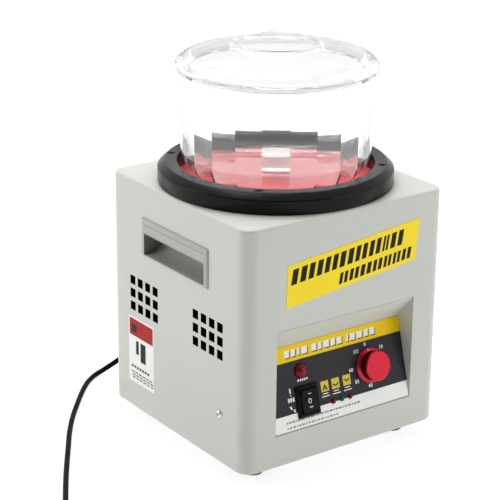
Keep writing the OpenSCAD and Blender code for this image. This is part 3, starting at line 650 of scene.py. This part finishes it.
def handle_mesh(name):
    """A moulded pull in its own frame: a bevelled frame, a lip above the opening, a scooped cup."""
    frame_levels = [(rounded_outline(GRIP_W, GRIP_H, 1.2, 4), 0),
                    (rounded_outline(GRIP_W, GRIP_H, 1.2, 4), 0.8),
                    (rounded_outline(GRIP_W - 0.8, GRIP_H - 0.8, 1.0, 4), 1.4),
                    (rounded_outline(GRIP_W - 3.2, GRIP_H - 3.2, 0.8, 4), 2.0)]
    body = loose(name, *stack(frame_levels))
    cup_levels = [(rounded_outline(CUP_W, CUP_H, 2, 4), z) for z in (-CUP_DEPTH, 0.2)]
    cut(body, loose("cup", *stack(cup_levels)), "UNION")
    # The hollow's side view: x is the way out of the case, y is up from the grip's middle.
    low, lip, top = -17.6, 4.5, 16.0
    scoop = [(3.0, low), (-3.0, low)] + arc((-3.0, low + 22), 22, -90, -180, 10)[1:]
    scoop += [(-25.0, top - 3), (-22.0, top), (-4.0, top), (-3.0, top - 1)]
    scoop += [(-3.0, lip + 1), (-2.0, lip), (3.0, lip)]
    hollow = loose("hollow", *prisms([scoop], -POCKET_W / 2, POCKET_W / 2))
    # Turn the side view so that its length runs across the grip.
    hollow.matrix_world = Matrix(((0, 0, 1, 0), (0, 1, 0, 0), (1, 0, 0, 0), (0, 0, 0, 1)))
    cut(body, hollow)
    grooves = [((0, 14.0, 2.0), (POCKET_W, 0.5, 0.8)), ((0, 5.6, 2.0), (POCKET_W, 0.35, 0.5))]
    cut(body, loose("groove", *boxes(grooves)))
    return body


def pocket_end_painted_shade(at):
    """True on the two end walls of a pull's pocket, which get painted shade."""
    return abs(abs(at.x) - POCKET_W / 2) < 0.5 and 3 - CUP_DEPTH < at.z < -1.0


def make_handles():
    """The left pull, and the right one, which is the same pull turned half round."""
    left = LEFT @ shift(0, GRIP_Z, 0)
    for side, place in (("left", left), ("right", Matrix.Rotation(pi, 4, "Z") @ left)):
        pull = handle_mesh(f"grip_{side}")
        dress(pull, "grey_plastic", "case", (f"handle_{side}",), place, 30)
        # The pocket's end walls get a darker grey: painted shade.
        second_material(pull, "grey_painted_shade", pocket_end_painted_shade)
        round_edges(pull, 0.25, 2)


SCREW_Y, SCREW_Z, FOOT_AT = 77, 51, 88


def make_side_screws():
    """Pan-head cross screws: two on the right side, one on the left."""
    profile = [(0, -8), (2, -8), (2, 0), (3.9, 0), (4, 0.3)]
    profile += arc((0.9, -0.9), 3.5, 28, 85, 6) + [(0, 2.6)]
    for number, (side, y) in enumerate(((-1, -SCREW_Y), (1, -SCREW_Y), (1, SCREW_Y))):
        place = shift(side * case_hi.x, y, FLOOR_GAP + SCREW_Z)
        place = place @ Matrix.Rotation(side * pi / 2, 4, "Y")
        head = loose("screw", *revolve(profile, 32))
        for slot in ((4.6, 0.9, 2.4), (0.9, 4.6, 2.4)):
            cut(head, loose("slot", *boxes([((0, 0, 2.2), slot)])))
        head.name = f"side_screw_{number + 1}"
        dress(head, "steel", "case", ("side_screws",), place, 30)


def make_feet():
    """Rubber feet with a rounded lower edge and a recessed screw hole."""
    profile = [(4.5, 0.25), (4.8, 0), (9.2, 0)] + arc((9.2, 1.2), 1.2, -90, 0, 5)[1:]
    profile += [(10.9, 12.8), (10.9, 15), (2.2, 15), (2.2, 8), (4.5, 8)]
    for side, x in (("left", -FOOT_AT), ("right", FOOT_AT)):
        for end, y in (("front", -FOOT_AT), ("rear", FOOT_AT)):
            new_piece(f"pad_{end}_{side}", *revolve(profile, 48), "rubber", "case", "rubber",
                      (f"foot_{end}_{side}",), shift(x, y, 0), 30)


# ---------------------------------------- ring, plate, bowl and lid

def make_ring():
    """The seat ring: a straight side, a soft shoulder, a flat top and four sunk screw holes."""
    top, low, out, hole, screw_circle = ring_hi.z, ring_lo.z, ring_hi.x, 97.8, 105.5
    profile = [(hole, low + 3.6), (hole + 3.5, low + 3.6), (hole + 3.5, low), (out - 0.4, low)]
    profile += [(out, low + 0.4), (out, top - 6.4), (out, top - 6.6), (out - 0.25, top - 5.6)]
    profile += [(out - 6.2, top - 0.45), (out - 7.2, top)]
    profile += [(hole + 0.9, top), (hole + 0.25, top - 0.25), (hole, top - 0.9)]
    ring = loose("collar", *revolve(profile, 192))
    for k in range(4):
        a = radians(45 + 90 * k)
        at = (screw_circle * cos(a), screw_circle * sin(a))
        cut(ring, loose("sink", *prisms([disc_outline(*at, 4.0, 32)], top - 3.5, top + 3)))
        cut(ring, loose("through", *prisms([disc_outline(*at, 2.2, 24)], low - 3, top + 3)))
    dress(ring, "ring_black", "case", ("seat_ring",), sharp=24)


# Flats inside the bowl, and the direction of one flat's middle, in degrees.
FACETS, FACET_TURN = 22, 233.5


def facet_factor(a):
    """How far a regular polygon's side lies at an angle from a side's middle, beside its corners."""
    step = 2 * pi / FACETS
    return cos(step / 2) / cos((a + step / 2) % step - step / 2)


def make_bowl():
    """The clear bowl: round outside, flats inside, a round bottom bend, a hollow post."""
    z0, rim = bowl_lo.z, bowl_hi.z
    wall_r, bend, inner_bend, floor_t = 94.4, 30.0, 27.0, 3.5
    post_top = z0 + 26
    core_r = 10.6
    under = [(0, post_top - 3), (9.2, post_top - 3), (10.2, post_top - 4), (core_r, z0 + 10),
             (11.4, z0 + 1.0), (12.2, z0)]
    outside = arc((wall_r - bend, z0 + bend), bend, -90, 0, 12)
    top = [(wall_r, rim - 4.6), (wall_r + 0.6, rim - 4.0), (96.4, rim - 3.7), (96.8, rim - 3.3),
           (96.8, rim - 0.4), (96.4, rim)]
    inside_r = 91.7
    inner = [(inside_r, rim), (inside_r, rim - 40), (inside_r, z0 + floor_t + inner_bend)]
    inner += arc((inside_r - inner_bend, z0 + floor_t + inner_bend), inner_bend, 0, -90, 14)[1:]
    post = [(16.5, z0 + floor_t)] + arc((16.5, z0 + floor_t + 2.2), 2.2, -90, -180, 4)[1:]
    post += [(13.0, post_top - 2.2), (12.6, post_top - 0.9), (11.6, post_top - 0.2)]
    post += [(10.4, post_top), (0, post_top)]
    profile = under + outside + top + inner + post
    first_flat = len(under) + len(outside) + len(top)
    last_flat = first_flat + len(inner) - 1

    def shape(i, a):
        return facet_factor(a) if first_flat <= i <= last_flat else 1

    verts, faces = revolve(profile, FACETS * 10, shape, radians(FACET_TURN))
    bowl = new_piece("clear_bowl", verts, faces, "clear_plastic", "bowl_body", "clear_plastic",
                     ("bowl",), sharp=9)
    # The post's core is hollow from below, and a little frosted.
    second_material(bowl, "clear_frost",
                    lambda at: at.xy.length < core_r and z0 + 10 < at.z < post_top - 2.5)


def make_lid():
    """The clear lid: a round bead, a low dome, a raised disc and a ring that sits in the bowl."""
    base, crown, out, wall = bowl_hi.z + 0.3, lid_hi.z, 99.8, 2.6
    dome_h, dome_r, disc_r = 19.2, 99.5, 45.0

    def dome(r, lift):
        return base + lift + dome_h * sqrt(max(0.0, 1 - (r / dome_r) ** 2))

    profile = [(97.4, base - 3.2), (97.7, base - 3.5), (out - 0.8, base - 3.5), (out, base - 2.6)]
    profile += arc((out - 2.6, base + 2.6), 2.6, 0, 78, 6)
    profile += [(r, dome(r, 2.2)) for r in (95, 92, 88, 83, 77, 70, 62, 54, disc_r + 1.6)]
    profile += [(disc_r + 0.4, dome(disc_r, 3.0)), (disc_r - 0.4, dome(disc_r, 4.2))]
    profile += [(disc_r - 1.6, dome(disc_r, 4.9)), (disc_r - 3.4, crown - 0.3)]
    profile += [(disc_r - 6, crown), (0, crown)]
    under = [(0, crown - wall), (disc_r - 6, crown - wall - 0.1), (disc_r - 3, crown - wall - 1.2)]
    under += [(r, dome(r, 2.2 - wall)) for r in (disc_r - 1, 54, 62, 70, 77, 83)]
    under += [(87.2, base + 1.0), (87.2, base - 3.6), (87.5, base - 4), (89.1, base - 4)]
    under += [(89.4, base - 3.6), (89.4, base - 0.3), (89.7, base), (97.1, base), (97.4, base - 0.3)]
    verts, faces = revolve(profile + under, 192)
    new_piece("clear_lid", verts, faces, "clear_lid", "lid_body", "clear_plastic", ("lid",), sharp=24)


# ---------------------------------------- controls

def make_panel_film():
    """The printed film on the sloping panel, in the panel's own frame."""
    outline = rounded_outline(RECESS_W - 1, PANEL_LEN - 1.5, 3, 5, (0, PANEL_LEN / 2))
    film = loose("film", *prisms([outline], 0.02, FILM))
    holes = [disc_outline(*KNOB_AT, 5.2, 32), disc_outline(*PILOT_AT, 5.2, 32)]
    holes += [disc_outline(x, s, 2.7, 24) for x, s in LED_AT]
    cut(film, loose("holes", *prisms(holes, -2, 2)))
    cut(film, loose("hole", *boxes([((*SWITCH_AT, 0), (22.8, 28.0, 4))])))
    dress(film, "panel_print", "case", ("panel_overlay",), PANEL)


# Thickness of a printed number.
PRINT = 0.1


def print_on(name, outlines, material, place, low, high, body="case", slot="panel_print"):
    """Printed marks as thin raised prisms."""
    new_piece(name, *prisms(outlines, low, high), material, body, slot, place=place)


def numeral(name, text, size, at, material, place, low):
    """A generic number as a thin raised mesh, centred on a place."""
    curve = bpy.data.curves.new(name, "FONT")
    curve.body = text
    curve.size = size * MM
    curve.extrude = PRINT / 2 * MM
    curve.offset = 0.12 * MM
    curve.align_x = "CENTER"
    curve.align_y = "CENTER"
    curve.resolution_u = 3
    thing = link(bpy.data.objects.new(name, curve))
    bpy.context.view_layer.update()
    graph = bpy.context.evaluated_depsgraph_get()
    mesh = bpy.data.meshes.new_from_object(thing.evaluated_get(graph))
    bpy.data.objects.remove(thing)
    mesh.transform(shift(*at, low + PRINT / 2))
    dress(link(bpy.data.objects.new(name, mesh)), material, "case", (), place)


# The dial's numbers: text, direction in degrees, distance from the knob's middle.
DIAL_MARKS = (("0", 99, 21.8), ("10", 43, 21.6), ("20", -4, 21.0), ("30", -51, 20.4),
              ("40", -99, 20.6), ("50", 214, 23.0), ("60", 180, 24.4))
# The three icons' places across the panel.
ICON_X = (-18.3, -5.0, 9.0)


def loop_sign(x, y, w, h):
    """A lying figure of eight as a band of outlines, the sign for without end."""
    n, thick = 36, 0.55
    points, bands = [], []
    for k in range(n):
        t = 2 * pi * k / n
        points.append(Vector((x + w / 2 * cos(t), y + h * sin(t) * cos(t))))
    for k in range(n):
        a, b = points[k], points[(k + 1) % n]
        side = Vector((-(b - a).y, (b - a).x)).normalized() * thick / 2
        bands.append([tuple(a - side), tuple(b - side), tuple(b + side), tuple(a + side)])
    return bands


def chevron(x, half, low):
    """A mark that points down the panel, with its tip at a height."""
    return [(x - half, low + 2.2), (x, low), (x + half, low + 2.2), (x + half, low + 3.8),
            (x, low + 1.6), (x - half, low + 3.8)]


def make_panel_marks():
    """Generic marks on the film: blocks for words, plain icons, bars and the dial's numbers."""
    top = FILM + 0.02
    widths = (6, 5, 3, 7, 6, 4, 7, 5, 6, 3, 6, 7, 5, 6)
    words, x = [], -61.0
    for k, width in enumerate(widths):
        words.append((x, x + width))
        x += width + (5.2 if k in (3, 8) else 2.3)
    title = [bar(a, 71.2, b, 78.2, 0.8) for a, b in words]
    shadow = [bar(a + 0.9, 70.2, b + 0.9, 77.2, 0.8) for a, b in words]
    print_on("title_shadow", shadow, "print_black", PANEL, FILM, top + 0.02)
    print_on("title_blocks", title, "print_white", PANEL, top + 0.03, top + 0.08)
    white = [bar(-49.5 + 2.6 * k, 45.6, -47.7 + 2.6 * k, 47.8, 0.3) for k in range(5)]
    white += [bar(-60.6, 36.4, -59.0, 41.4), bar(-60.2, 33.8, -59.4, 35.0)]
    white += [bar(-63.6 + 2.9 * k, 28.0, -61.6 + 2.9 * k, 32.0) for k in range(3)]
    white += [bar(-61.5, 20.8, -59.4, 24.0, -1.2), bar(-58.0, 17.6, -56.0, 20.4, -0.8)]
    for x in ICON_X:
        white += [bar(x - 3.4, 26.3, x + 3.2, 27.2), bar(x - 4.9, 23.6, x + 4.9, 24.5)]
    white += loop_sign(KNOB_AT[0] - 15.4, KNOB_AT[1] + 17.0, 5.6, 3.4)
    print_on("panel_white_marks", white, "print_white", PANEL, FILM, top + 0.04)
    icons = [bar(x - 4.65, 28.8, x + 4.65, 39.2) for x in ICON_X]
    print_on("panel_icons", icons, "print_yellow", PANEL, FILM, top + 0.02)
    x = ICON_X[0]
    peak = [(x - 3.3, 30.2), (x, 36.4), (x + 3.3, 30.2), (x + 1.5, 30.2), (x, 33.2), (x - 1.5, 30.2)]
    signs = [peak, chevron(ICON_X[1], 3.4, 30.8), chevron(ICON_X[2], 3.2, 32.2)]
    print_on("panel_icon_signs", signs, "print_black", PANEL, top + 0.02, top + 0.07)
    small, x = [], -69.0
    for k in range(30):
        width = 1.6 + 1.2 * ((k * 7) % 3)
        if x < 20:
            small.append(bar(x, 8.0, x + width, 9.8, 0.3))
        if x < -8:
            small.append(bar(x, 2.8, x + width * 0.9, 4.4, 0.3))
        x += width + 1.0
    print_on("panel_small_marks", small, "print_grey", PANEL, FILM, top)
    for text, angle, r in DIAL_MARKS:
        a = radians(angle)
        at = (KNOB_AT[0] + r * cos(a), KNOB_AT[1] + r * sin(a))
        numeral(f"dial_number_{text}", text, 5.2, at, "print_white", PANEL, FILM)


def make_knob():
    """The knurled timer knob with a bevelled skirt, a neck with painted shade, and a small pointer
    wedge on the skirt.
    """
    base, height, ridges = FILM + 0.5, 14.0, 60
    skirt = [(7.9, base), (17.6, base), (18.1, base + 0.5), (18.1, base + 1.1), (17.4, base + 2.2),
             (15.9, base + 3.2), (15.2, base + 3.4)]
    side = [(14.5, base + 3.6), (14.5, height - 3.0), (14.6, height - 2.6)]
    cap = [(15.1, height - 2.4), (15.1, height - 0.9), (14.2, height), (0, height)]
    hole = [(0, 8.1), (3.0, 8.1), (3.0, 4.2), (7.9, 4.2)]
    profile = skirt + side + cap + hole
    first, last = len(skirt), len(skirt) + 1

    def shape(i, a):
        wave = abs(((a * ridges / (2 * pi)) % 1) - 0.5) * 2
        return 1 - 0.04 * wave if first <= i <= last else 1

    verts, faces = revolve(profile, ridges * 6, shape)
    place = on_panel(*KNOB_AT)
    knob = new_piece("knurled_knob", verts, faces, "knob_red", "dial", "knob_red",
                     ("timer_knob",), place, 26)
    # Painted shade: the neck between the skirt and the cap gets a darker red.
    second_material(knob, "knob_neck_painted_shade",
                    lambda at: base + 3.3 < at.z < height - 2.5 and at.xy.length > 13)
    # The pointer stands at the dial's zero.
    spin = place @ Matrix.Rotation(radians(DIAL_MARKS[0][1] - 90), 4, "Z")
    near, far = (16.0, base + 3.13), (17.3, base + 2.27)
    corners = [(-0.6, *near), (0.6, *near), (0.6, *far), (-0.6, *far)]
    wedge = [(x, r, z + lift) for lift in (-0.1, 0.04) for x, r, z in corners]
    sides = [(0, 1, 2, 3), (4, 5, 6, 7), (0, 1, 5, 4), (1, 2, 6, 5), (2, 3, 7, 6), (3, 0, 4, 7)]
    new_piece("knob_pointer", wedge, sides, "print_white", "dial", "knob_red", place=spin)


# Turns a side view, drawn as (up, out), so that its thickness runs across the panel.
SIDE_VIEW = Matrix(((0, 0, 1, 0), (1, 0, 0, 0), (0, 1, 0, 0), (0, 0, 0, 1)))


def make_switch():
    """The rocker switch: a bevelled bezel and a dished rocker with its three marks."""
    bezel_sizes = ((27, 32, 1.6, FILM), (27, 32, 1.6, FILM + 0.9), (26, 31, 1.4, FILM + 1.6),
                   (23.8, 28.4, 1.2, 3.7), (23.0, 27.6, 1.0, 4.0))
    bezel_levels = [(rounded_outline(w, h, r, 5), z) for w, h, r, z in bezel_sizes]
    bezel = loose("switch_bezel", *stack(bezel_levels))
    box_levels = [(rounded_outline(22.4, 27.6, 0.6, 3), z) for z in (-16, FILM + 0.4)]
    cut(bezel, loose("box", *stack(box_levels)), "UNION")
    cut(bezel, loose("mouth", *boxes([((0, 0, 3.2), (19.6, 24.6, 14.0))])))
    place = on_panel(*SWITCH_AT)
    dress(bezel, "black_plastic", "case", ("switch_housing",), place, 30)
    top = [(-11.2, 6.2), (-9.6, 6.45)]
    top += [(s, 4.85 + 1.6 * (abs(s) / 9.6) ** 1.6) for s in (-7, -4, -1.5, 1.5, 4, 7)]
    top += [(9.6, 6.45), (11.2, 6.2)]
    side = arc((0, 2.2), 12.0, 20, -20, 4)
    outline = top + side + [(-x, y) for x, y in reversed(side)]
    rocker = loose("rocker_key", *prisms([outline], -9.5, 9.5))
    rocker.data.transform(SIDE_VIEW)
    pin = loose("pin", *prisms([disc_outline(0, 2.2, 1.2)], -11, 11))
    pin.data.transform(SIDE_VIEW)
    cut(rocker, pin, "UNION")
    dress(rocker, "black_plastic", "rocker", ("switch_rocker",), place, 30)
    round_edges(rocker, 0.5, 3, 50)
    dash = [bar(-1.9, 7.0, 1.9, 7.9)]
    ring = []
    for k in range(20):
        a, b = (2 * pi * (k + end) / 20 for end in (0, 1))
        corners = ((1.3, a), (1.3, b), (2.0, b), (2.0, a))
        ring.append([(r * cos(t), 1.25 * r * sin(t)) for r, t in corners])
    pair = [bar(-1.9, -6.4, 1.9, -5.6), bar(-1.9, -8.2, 1.9, -7.4)]
    for name, marks, height in (("rocker_dash", dash, 5.84), ("rocker_ring", ring, 4.93),
                                ("rocker_pair", pair, 5.80)):
        print_on(name, marks, "print_white", place, height - 0.25, height + 0.12,
                 "rocker", "black_plastic")


def make_lamps():
    """The pilot lamp's dome, and three small lamps. The CAD has the pilot's collar."""
    dome = [(0, -6), (3.9, -6), (3.9, 1.7), (6.9, 1.7), (6.9, 1.9)]
    dome += arc((0, -2.5), 8.2, 35, 88, 9) + [(0, 5.7)]
    new_piece("pilot_dome", *revolve(dome, 64), "lamp_red", "case", "lamp_red", ("pilot_lens",),
              on_panel(*PILOT_AT), 30)
    lamp = [(0, -6), (2.45, -6), (2.45, 0.9)] + arc((0, 0.9), 2.45, 0, 86, 8)[1:] + [(0, 3.35)]
    kinds = (("left", "lamp_red", "leds_red"), ("mid", "lamp_green", "led_green"),
             ("right", "lamp_red", "leds_red"))
    for at, (side, kind, node) in zip(LED_AT, kinds):
        new_piece(f"small_lamp_{side}", *revolve(lamp, 32), kind, "case", kind, (node,),
                  on_panel(*at), 30)


# ---------------------------------------- labels

def slanted_row(x0, x1, y0, slope, height, widths, lean):
    """Pairs of slanted bars along a rising line, which stand for words."""
    gap = 2.6
    total = sum(widths) + gap * (len(widths) - 1)
    scale = (x1 - x0) / total
    outlines, x = [], x0
    for width in widths:
        w = width * scale
        for part in ((0, 0.40), (0.60, 1.0)):
            a, b = x + part[0] * w, x + part[1] * w
            ya, yb = y0 + slope * (a - x0), y0 + slope * (b - x0)
            outlines.append([(a, ya), (b, yb), (b + lean, yb + height), (a + lean, ya + height)])
        x += w + gap * scale
    return outlines


def make_front_label():
    """A yellow slanting label with two rows of black bars."""
    plate = [[(-74, 162), (83, 180), (87, 222), (-72.5, 204.5)]]
    new_piece("front_plate", *prisms(plate, 0.0, 0.36), "label_yellow", "case", "label_yellow",
              ("front_label",), FRONT)
    marks = slanted_row(-69, 65, 184.5, 0.108, 15.5, (15, 14, 13, 14, 12, 12, 6, 13), 2.6)
    marks += slanted_row(-12, 76, 173.6, 0.108, 11.5, (10, 11, 13, 11, 9, 9, 11), 1.9)
    print_on("front_label_bars", marks, "print_black", FRONT, 0.36, 0.40, slot="label_yellow")


def make_side_label():
    """A white label with a red band and plain blocks and rows of bars."""
    new_piece("side_plate", *prisms([rounded_outline(47, 72, 1.0, 3, (-62.5, 64))], 0.0, 0.22),
              "label_white", "case", "label_white", ("side_label",), LEFT)
    band = [bar(-84.3, 79.5, -40.7, 98.0)]
    print_on("side_label_band", band, "print_red", LEFT, 0.22, 0.25, slot="label_white")
    black = [bar(-80.5, 83.5, -71.0, 92.0), bar(-72.5, 60.5, -67.5, 75.0)]
    black.append(bar(-64.0, 54.0, -54.5, 75.0))
    # Rows of bars: the first bar's start, the row's lower edge, bar height, bar width and count.
    rows = ((-81.5, 44.0, 2.6, 3.4, 7), (-81.5, 38.6, 1.2, 5.2, 6), (-79.5, 35.6, 1.2, 5.2, 6),
            (-79.5, 32.6, 1.2, 5.2, 6))
    for start, y, height, width, count in rows:
        for k in range(count):
            x = start + k * (width + 1.6)
            black.append(bar(x, y, x + width, y + height))
    print_on("side_label_marks", black, "print_black", LEFT, 0.25, 0.29, slot="label_white")


# ---------------------------------------- lead's pieces

PLUG_AT = (-270, -190, 12.5)


def make_relief():
    """The strain relief, with grooves round its taper, where the lead leaves the case."""
    relief = [(2.76, -14), (6, -14), (6, 0), (9, 0), (9, 2.4), (8.4, 3.0), (6.8, 4.0)]
    for k in range(6):
        z, r = 6.0 + 3.2 * k, 6.4 - 0.34 * k
        relief += [(r, z), (r, z + 1.9), (r - 1.0, z + 2.1), (r - 1.0, z + 3.0)]
    relief += [(4.0, 25.4), (3.6, 26), (2.76, 26)]
    place = shift(CORD_EXIT[0], case_hi.y, CORD_EXIT[2])
    return new_piece("strain_relief", *revolve(relief, 40), "cord_black", "case", "cord_black",
                     ("cord_gland",), place @ Matrix.Rotation(-pi / 2, 4, "X"), 30)


def make_plug():
    """The moulded plug, from its thin neck to its flat face."""
    # Distance along the plug, width, height and corner radius.
    sections = ((0.2, 8.4, 8.4, 4.1), (8, 10.2, 10.2, 5.0), (18, 13.4, 13.0, 6.2),
                (23, 17.5, 19.0, 7.5), (28, 22.0, 26.0, 8.5), (34, 24.4, 29.6, 8.0),
                (40, 24.9, 30.0, 7.0), (56.6, 24.9, 30.0, 6.0), (57.6, 24.2, 29.2, 5.6),
                (58, 23.0, 28.0, 5.0))
    levels = [(rounded_outline(w, h, r, 8), z) for z, w, h, r in sections]
    place = shift(*PLUG_AT) @ Matrix.Rotation(pi / 2, 4, "Y")
    return new_piece("mains_plug", *stack(levels), "cord_black", "case", "cord_black", ("plug_body",),
                     place, 40)


def make_straps():
    """Two straps that hold the coil's turns together."""
    inner = [(20.0, 0.4), (20.0, 10.2), (21.2, 11.7), (38.2, 11.7), (39.6, 10.2), (39.6, 0.4)]
    outer = [(18.9, 0.4), (18.9, 10.8), (20.8, 12.5), (38.7, 12.5), (40.8, 10.8), (40.8, 0.4)]
    straps = []
    for number, angle in enumerate((60, 240)):
        strap = loose("strap", *prisms([inner + outer[::-1]], -3, 3))
        strap.data.transform(UPRIGHT)
        strap.name = f"coil_strap_{number + 1}"
        place = shift(*COIL_AT, 0) @ Matrix.Rotation(radians(angle), 4, "Z")
        straps.append(dress(strap, "tie_black", "case", ("cord_tie",), place, 30))
    return straps


# ---------------------------------------- stage and light

def make_stage():
    """A white floor, the room's light and the lamps."""
    far = 9000
    corners = [(-far, -far, 0), (far, -far, 0), (far, far, 0), (-far, far, 0)]
    floor = loose("floor", corners, [(0, 1, 2, 3)])
    material = node_material("floor", grey(0.38), 0.8, Specular_IOR_Level=0.0,
                             Emission_Color=(1, 1, 1, 1), Emission_Strength=0.78)
    mottle(material, grey(0.375), grey(0.385), 2)
    floor.data.materials.append(material)
    scene = bpy.context.scene
    scene.view_settings.view_transform = "Standard"
    scene.cycles.max_bounces = scene.cycles.transmission_bounces = scene.cycles.glossy_bounces = 24
    make_room(scene)
    make_lamp_heads()


def make_room(scene):
    """Light from all round: bright in the half of the room behind the part, dim behind the camera."""
    world = bpy.data.worlds.new("room")
    scene.world = world
    world.use_nodes = True
    tree = world.node_tree
    place = tree.nodes.new("ShaderNodeTexCoord")
    turn = tree.nodes.new("ShaderNodeMapping")
    turn.inputs["Rotation"].default_value = (0, 0, radians(CAMERA_YAW))
    split = tree.nodes.new("ShaderNodeSeparateXYZ")
    spread = tree.nodes.new("ShaderNodeMapRange")
    spread.inputs["From Min"].default_value = -1
    spread.inputs["From Max"].default_value = 1
    tree.links.new(place.outputs["Generated"], turn.inputs["Vector"])
    tree.links.new(turn.outputs["Vector"], split.inputs["Vector"])
    tree.links.new(split.outputs["Y"], spread.inputs["Value"])
    stops = [(0.0, grey(0.10)), (0.28, grey(0.14)), (0.44, grey(1.0))]
    glow = ramp(tree, spread.outputs["Result"], stops)
    tree.links.new(glow, tree.nodes["Background"].inputs["Color"])
    tree.nodes["Background"].inputs["Strength"].default_value = 1.0


def make_lamp_heads():
    """Three square soft lamps, aimed at the part. Places and sizes in metres, power in watts."""
    aim = Vector((0, 0, 0.2))
    for name, at, size, power in (("key_above", (0.3, 0.9, 2.3), 1.6, 36),
                                  ("softbox_left", (-2.0, 1.1, 0.9), 1.2, 12),
                                  ("softbox_right", (1.2, -2.0, 0.9), 1.2, 11)):
        data = bpy.data.lights.new(name, "AREA")
        data.shape = "SQUARE"
        data.size = size
        data.energy = power
        lamp = link(bpy.data.objects.new(name, data))
        lamp.location = at
        lamp.rotation_euler = (aim - Vector(at)).to_track_quat("-Z", "Y").to_euler()


# ---------------------------------------- assembly

make_camera()
cord, cord_length = make_cord()
MATERIALS = make_materials()
cord.data.materials.append(MATERIALS["cord_black"])
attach(cord, "case")
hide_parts("cord_run", "cord_coil", "cord_tail")
gland, plug, straps = make_relief(), make_plug(), make_straps()

for part in frame["record"]["subparts"]:
    node = NODES[part["node"]]
    node.data.materials.clear()
    node.data.materials.append(MATERIALS[part["material_slot"]])

make_case()
make_handles()
make_side_screws()
make_feet()
make_ring()
make_bowl()
make_lid()
make_panel_film()
make_panel_marks()
make_knob()
make_switch()
make_lamps()
make_front_label()
make_side_label()
make_stage()
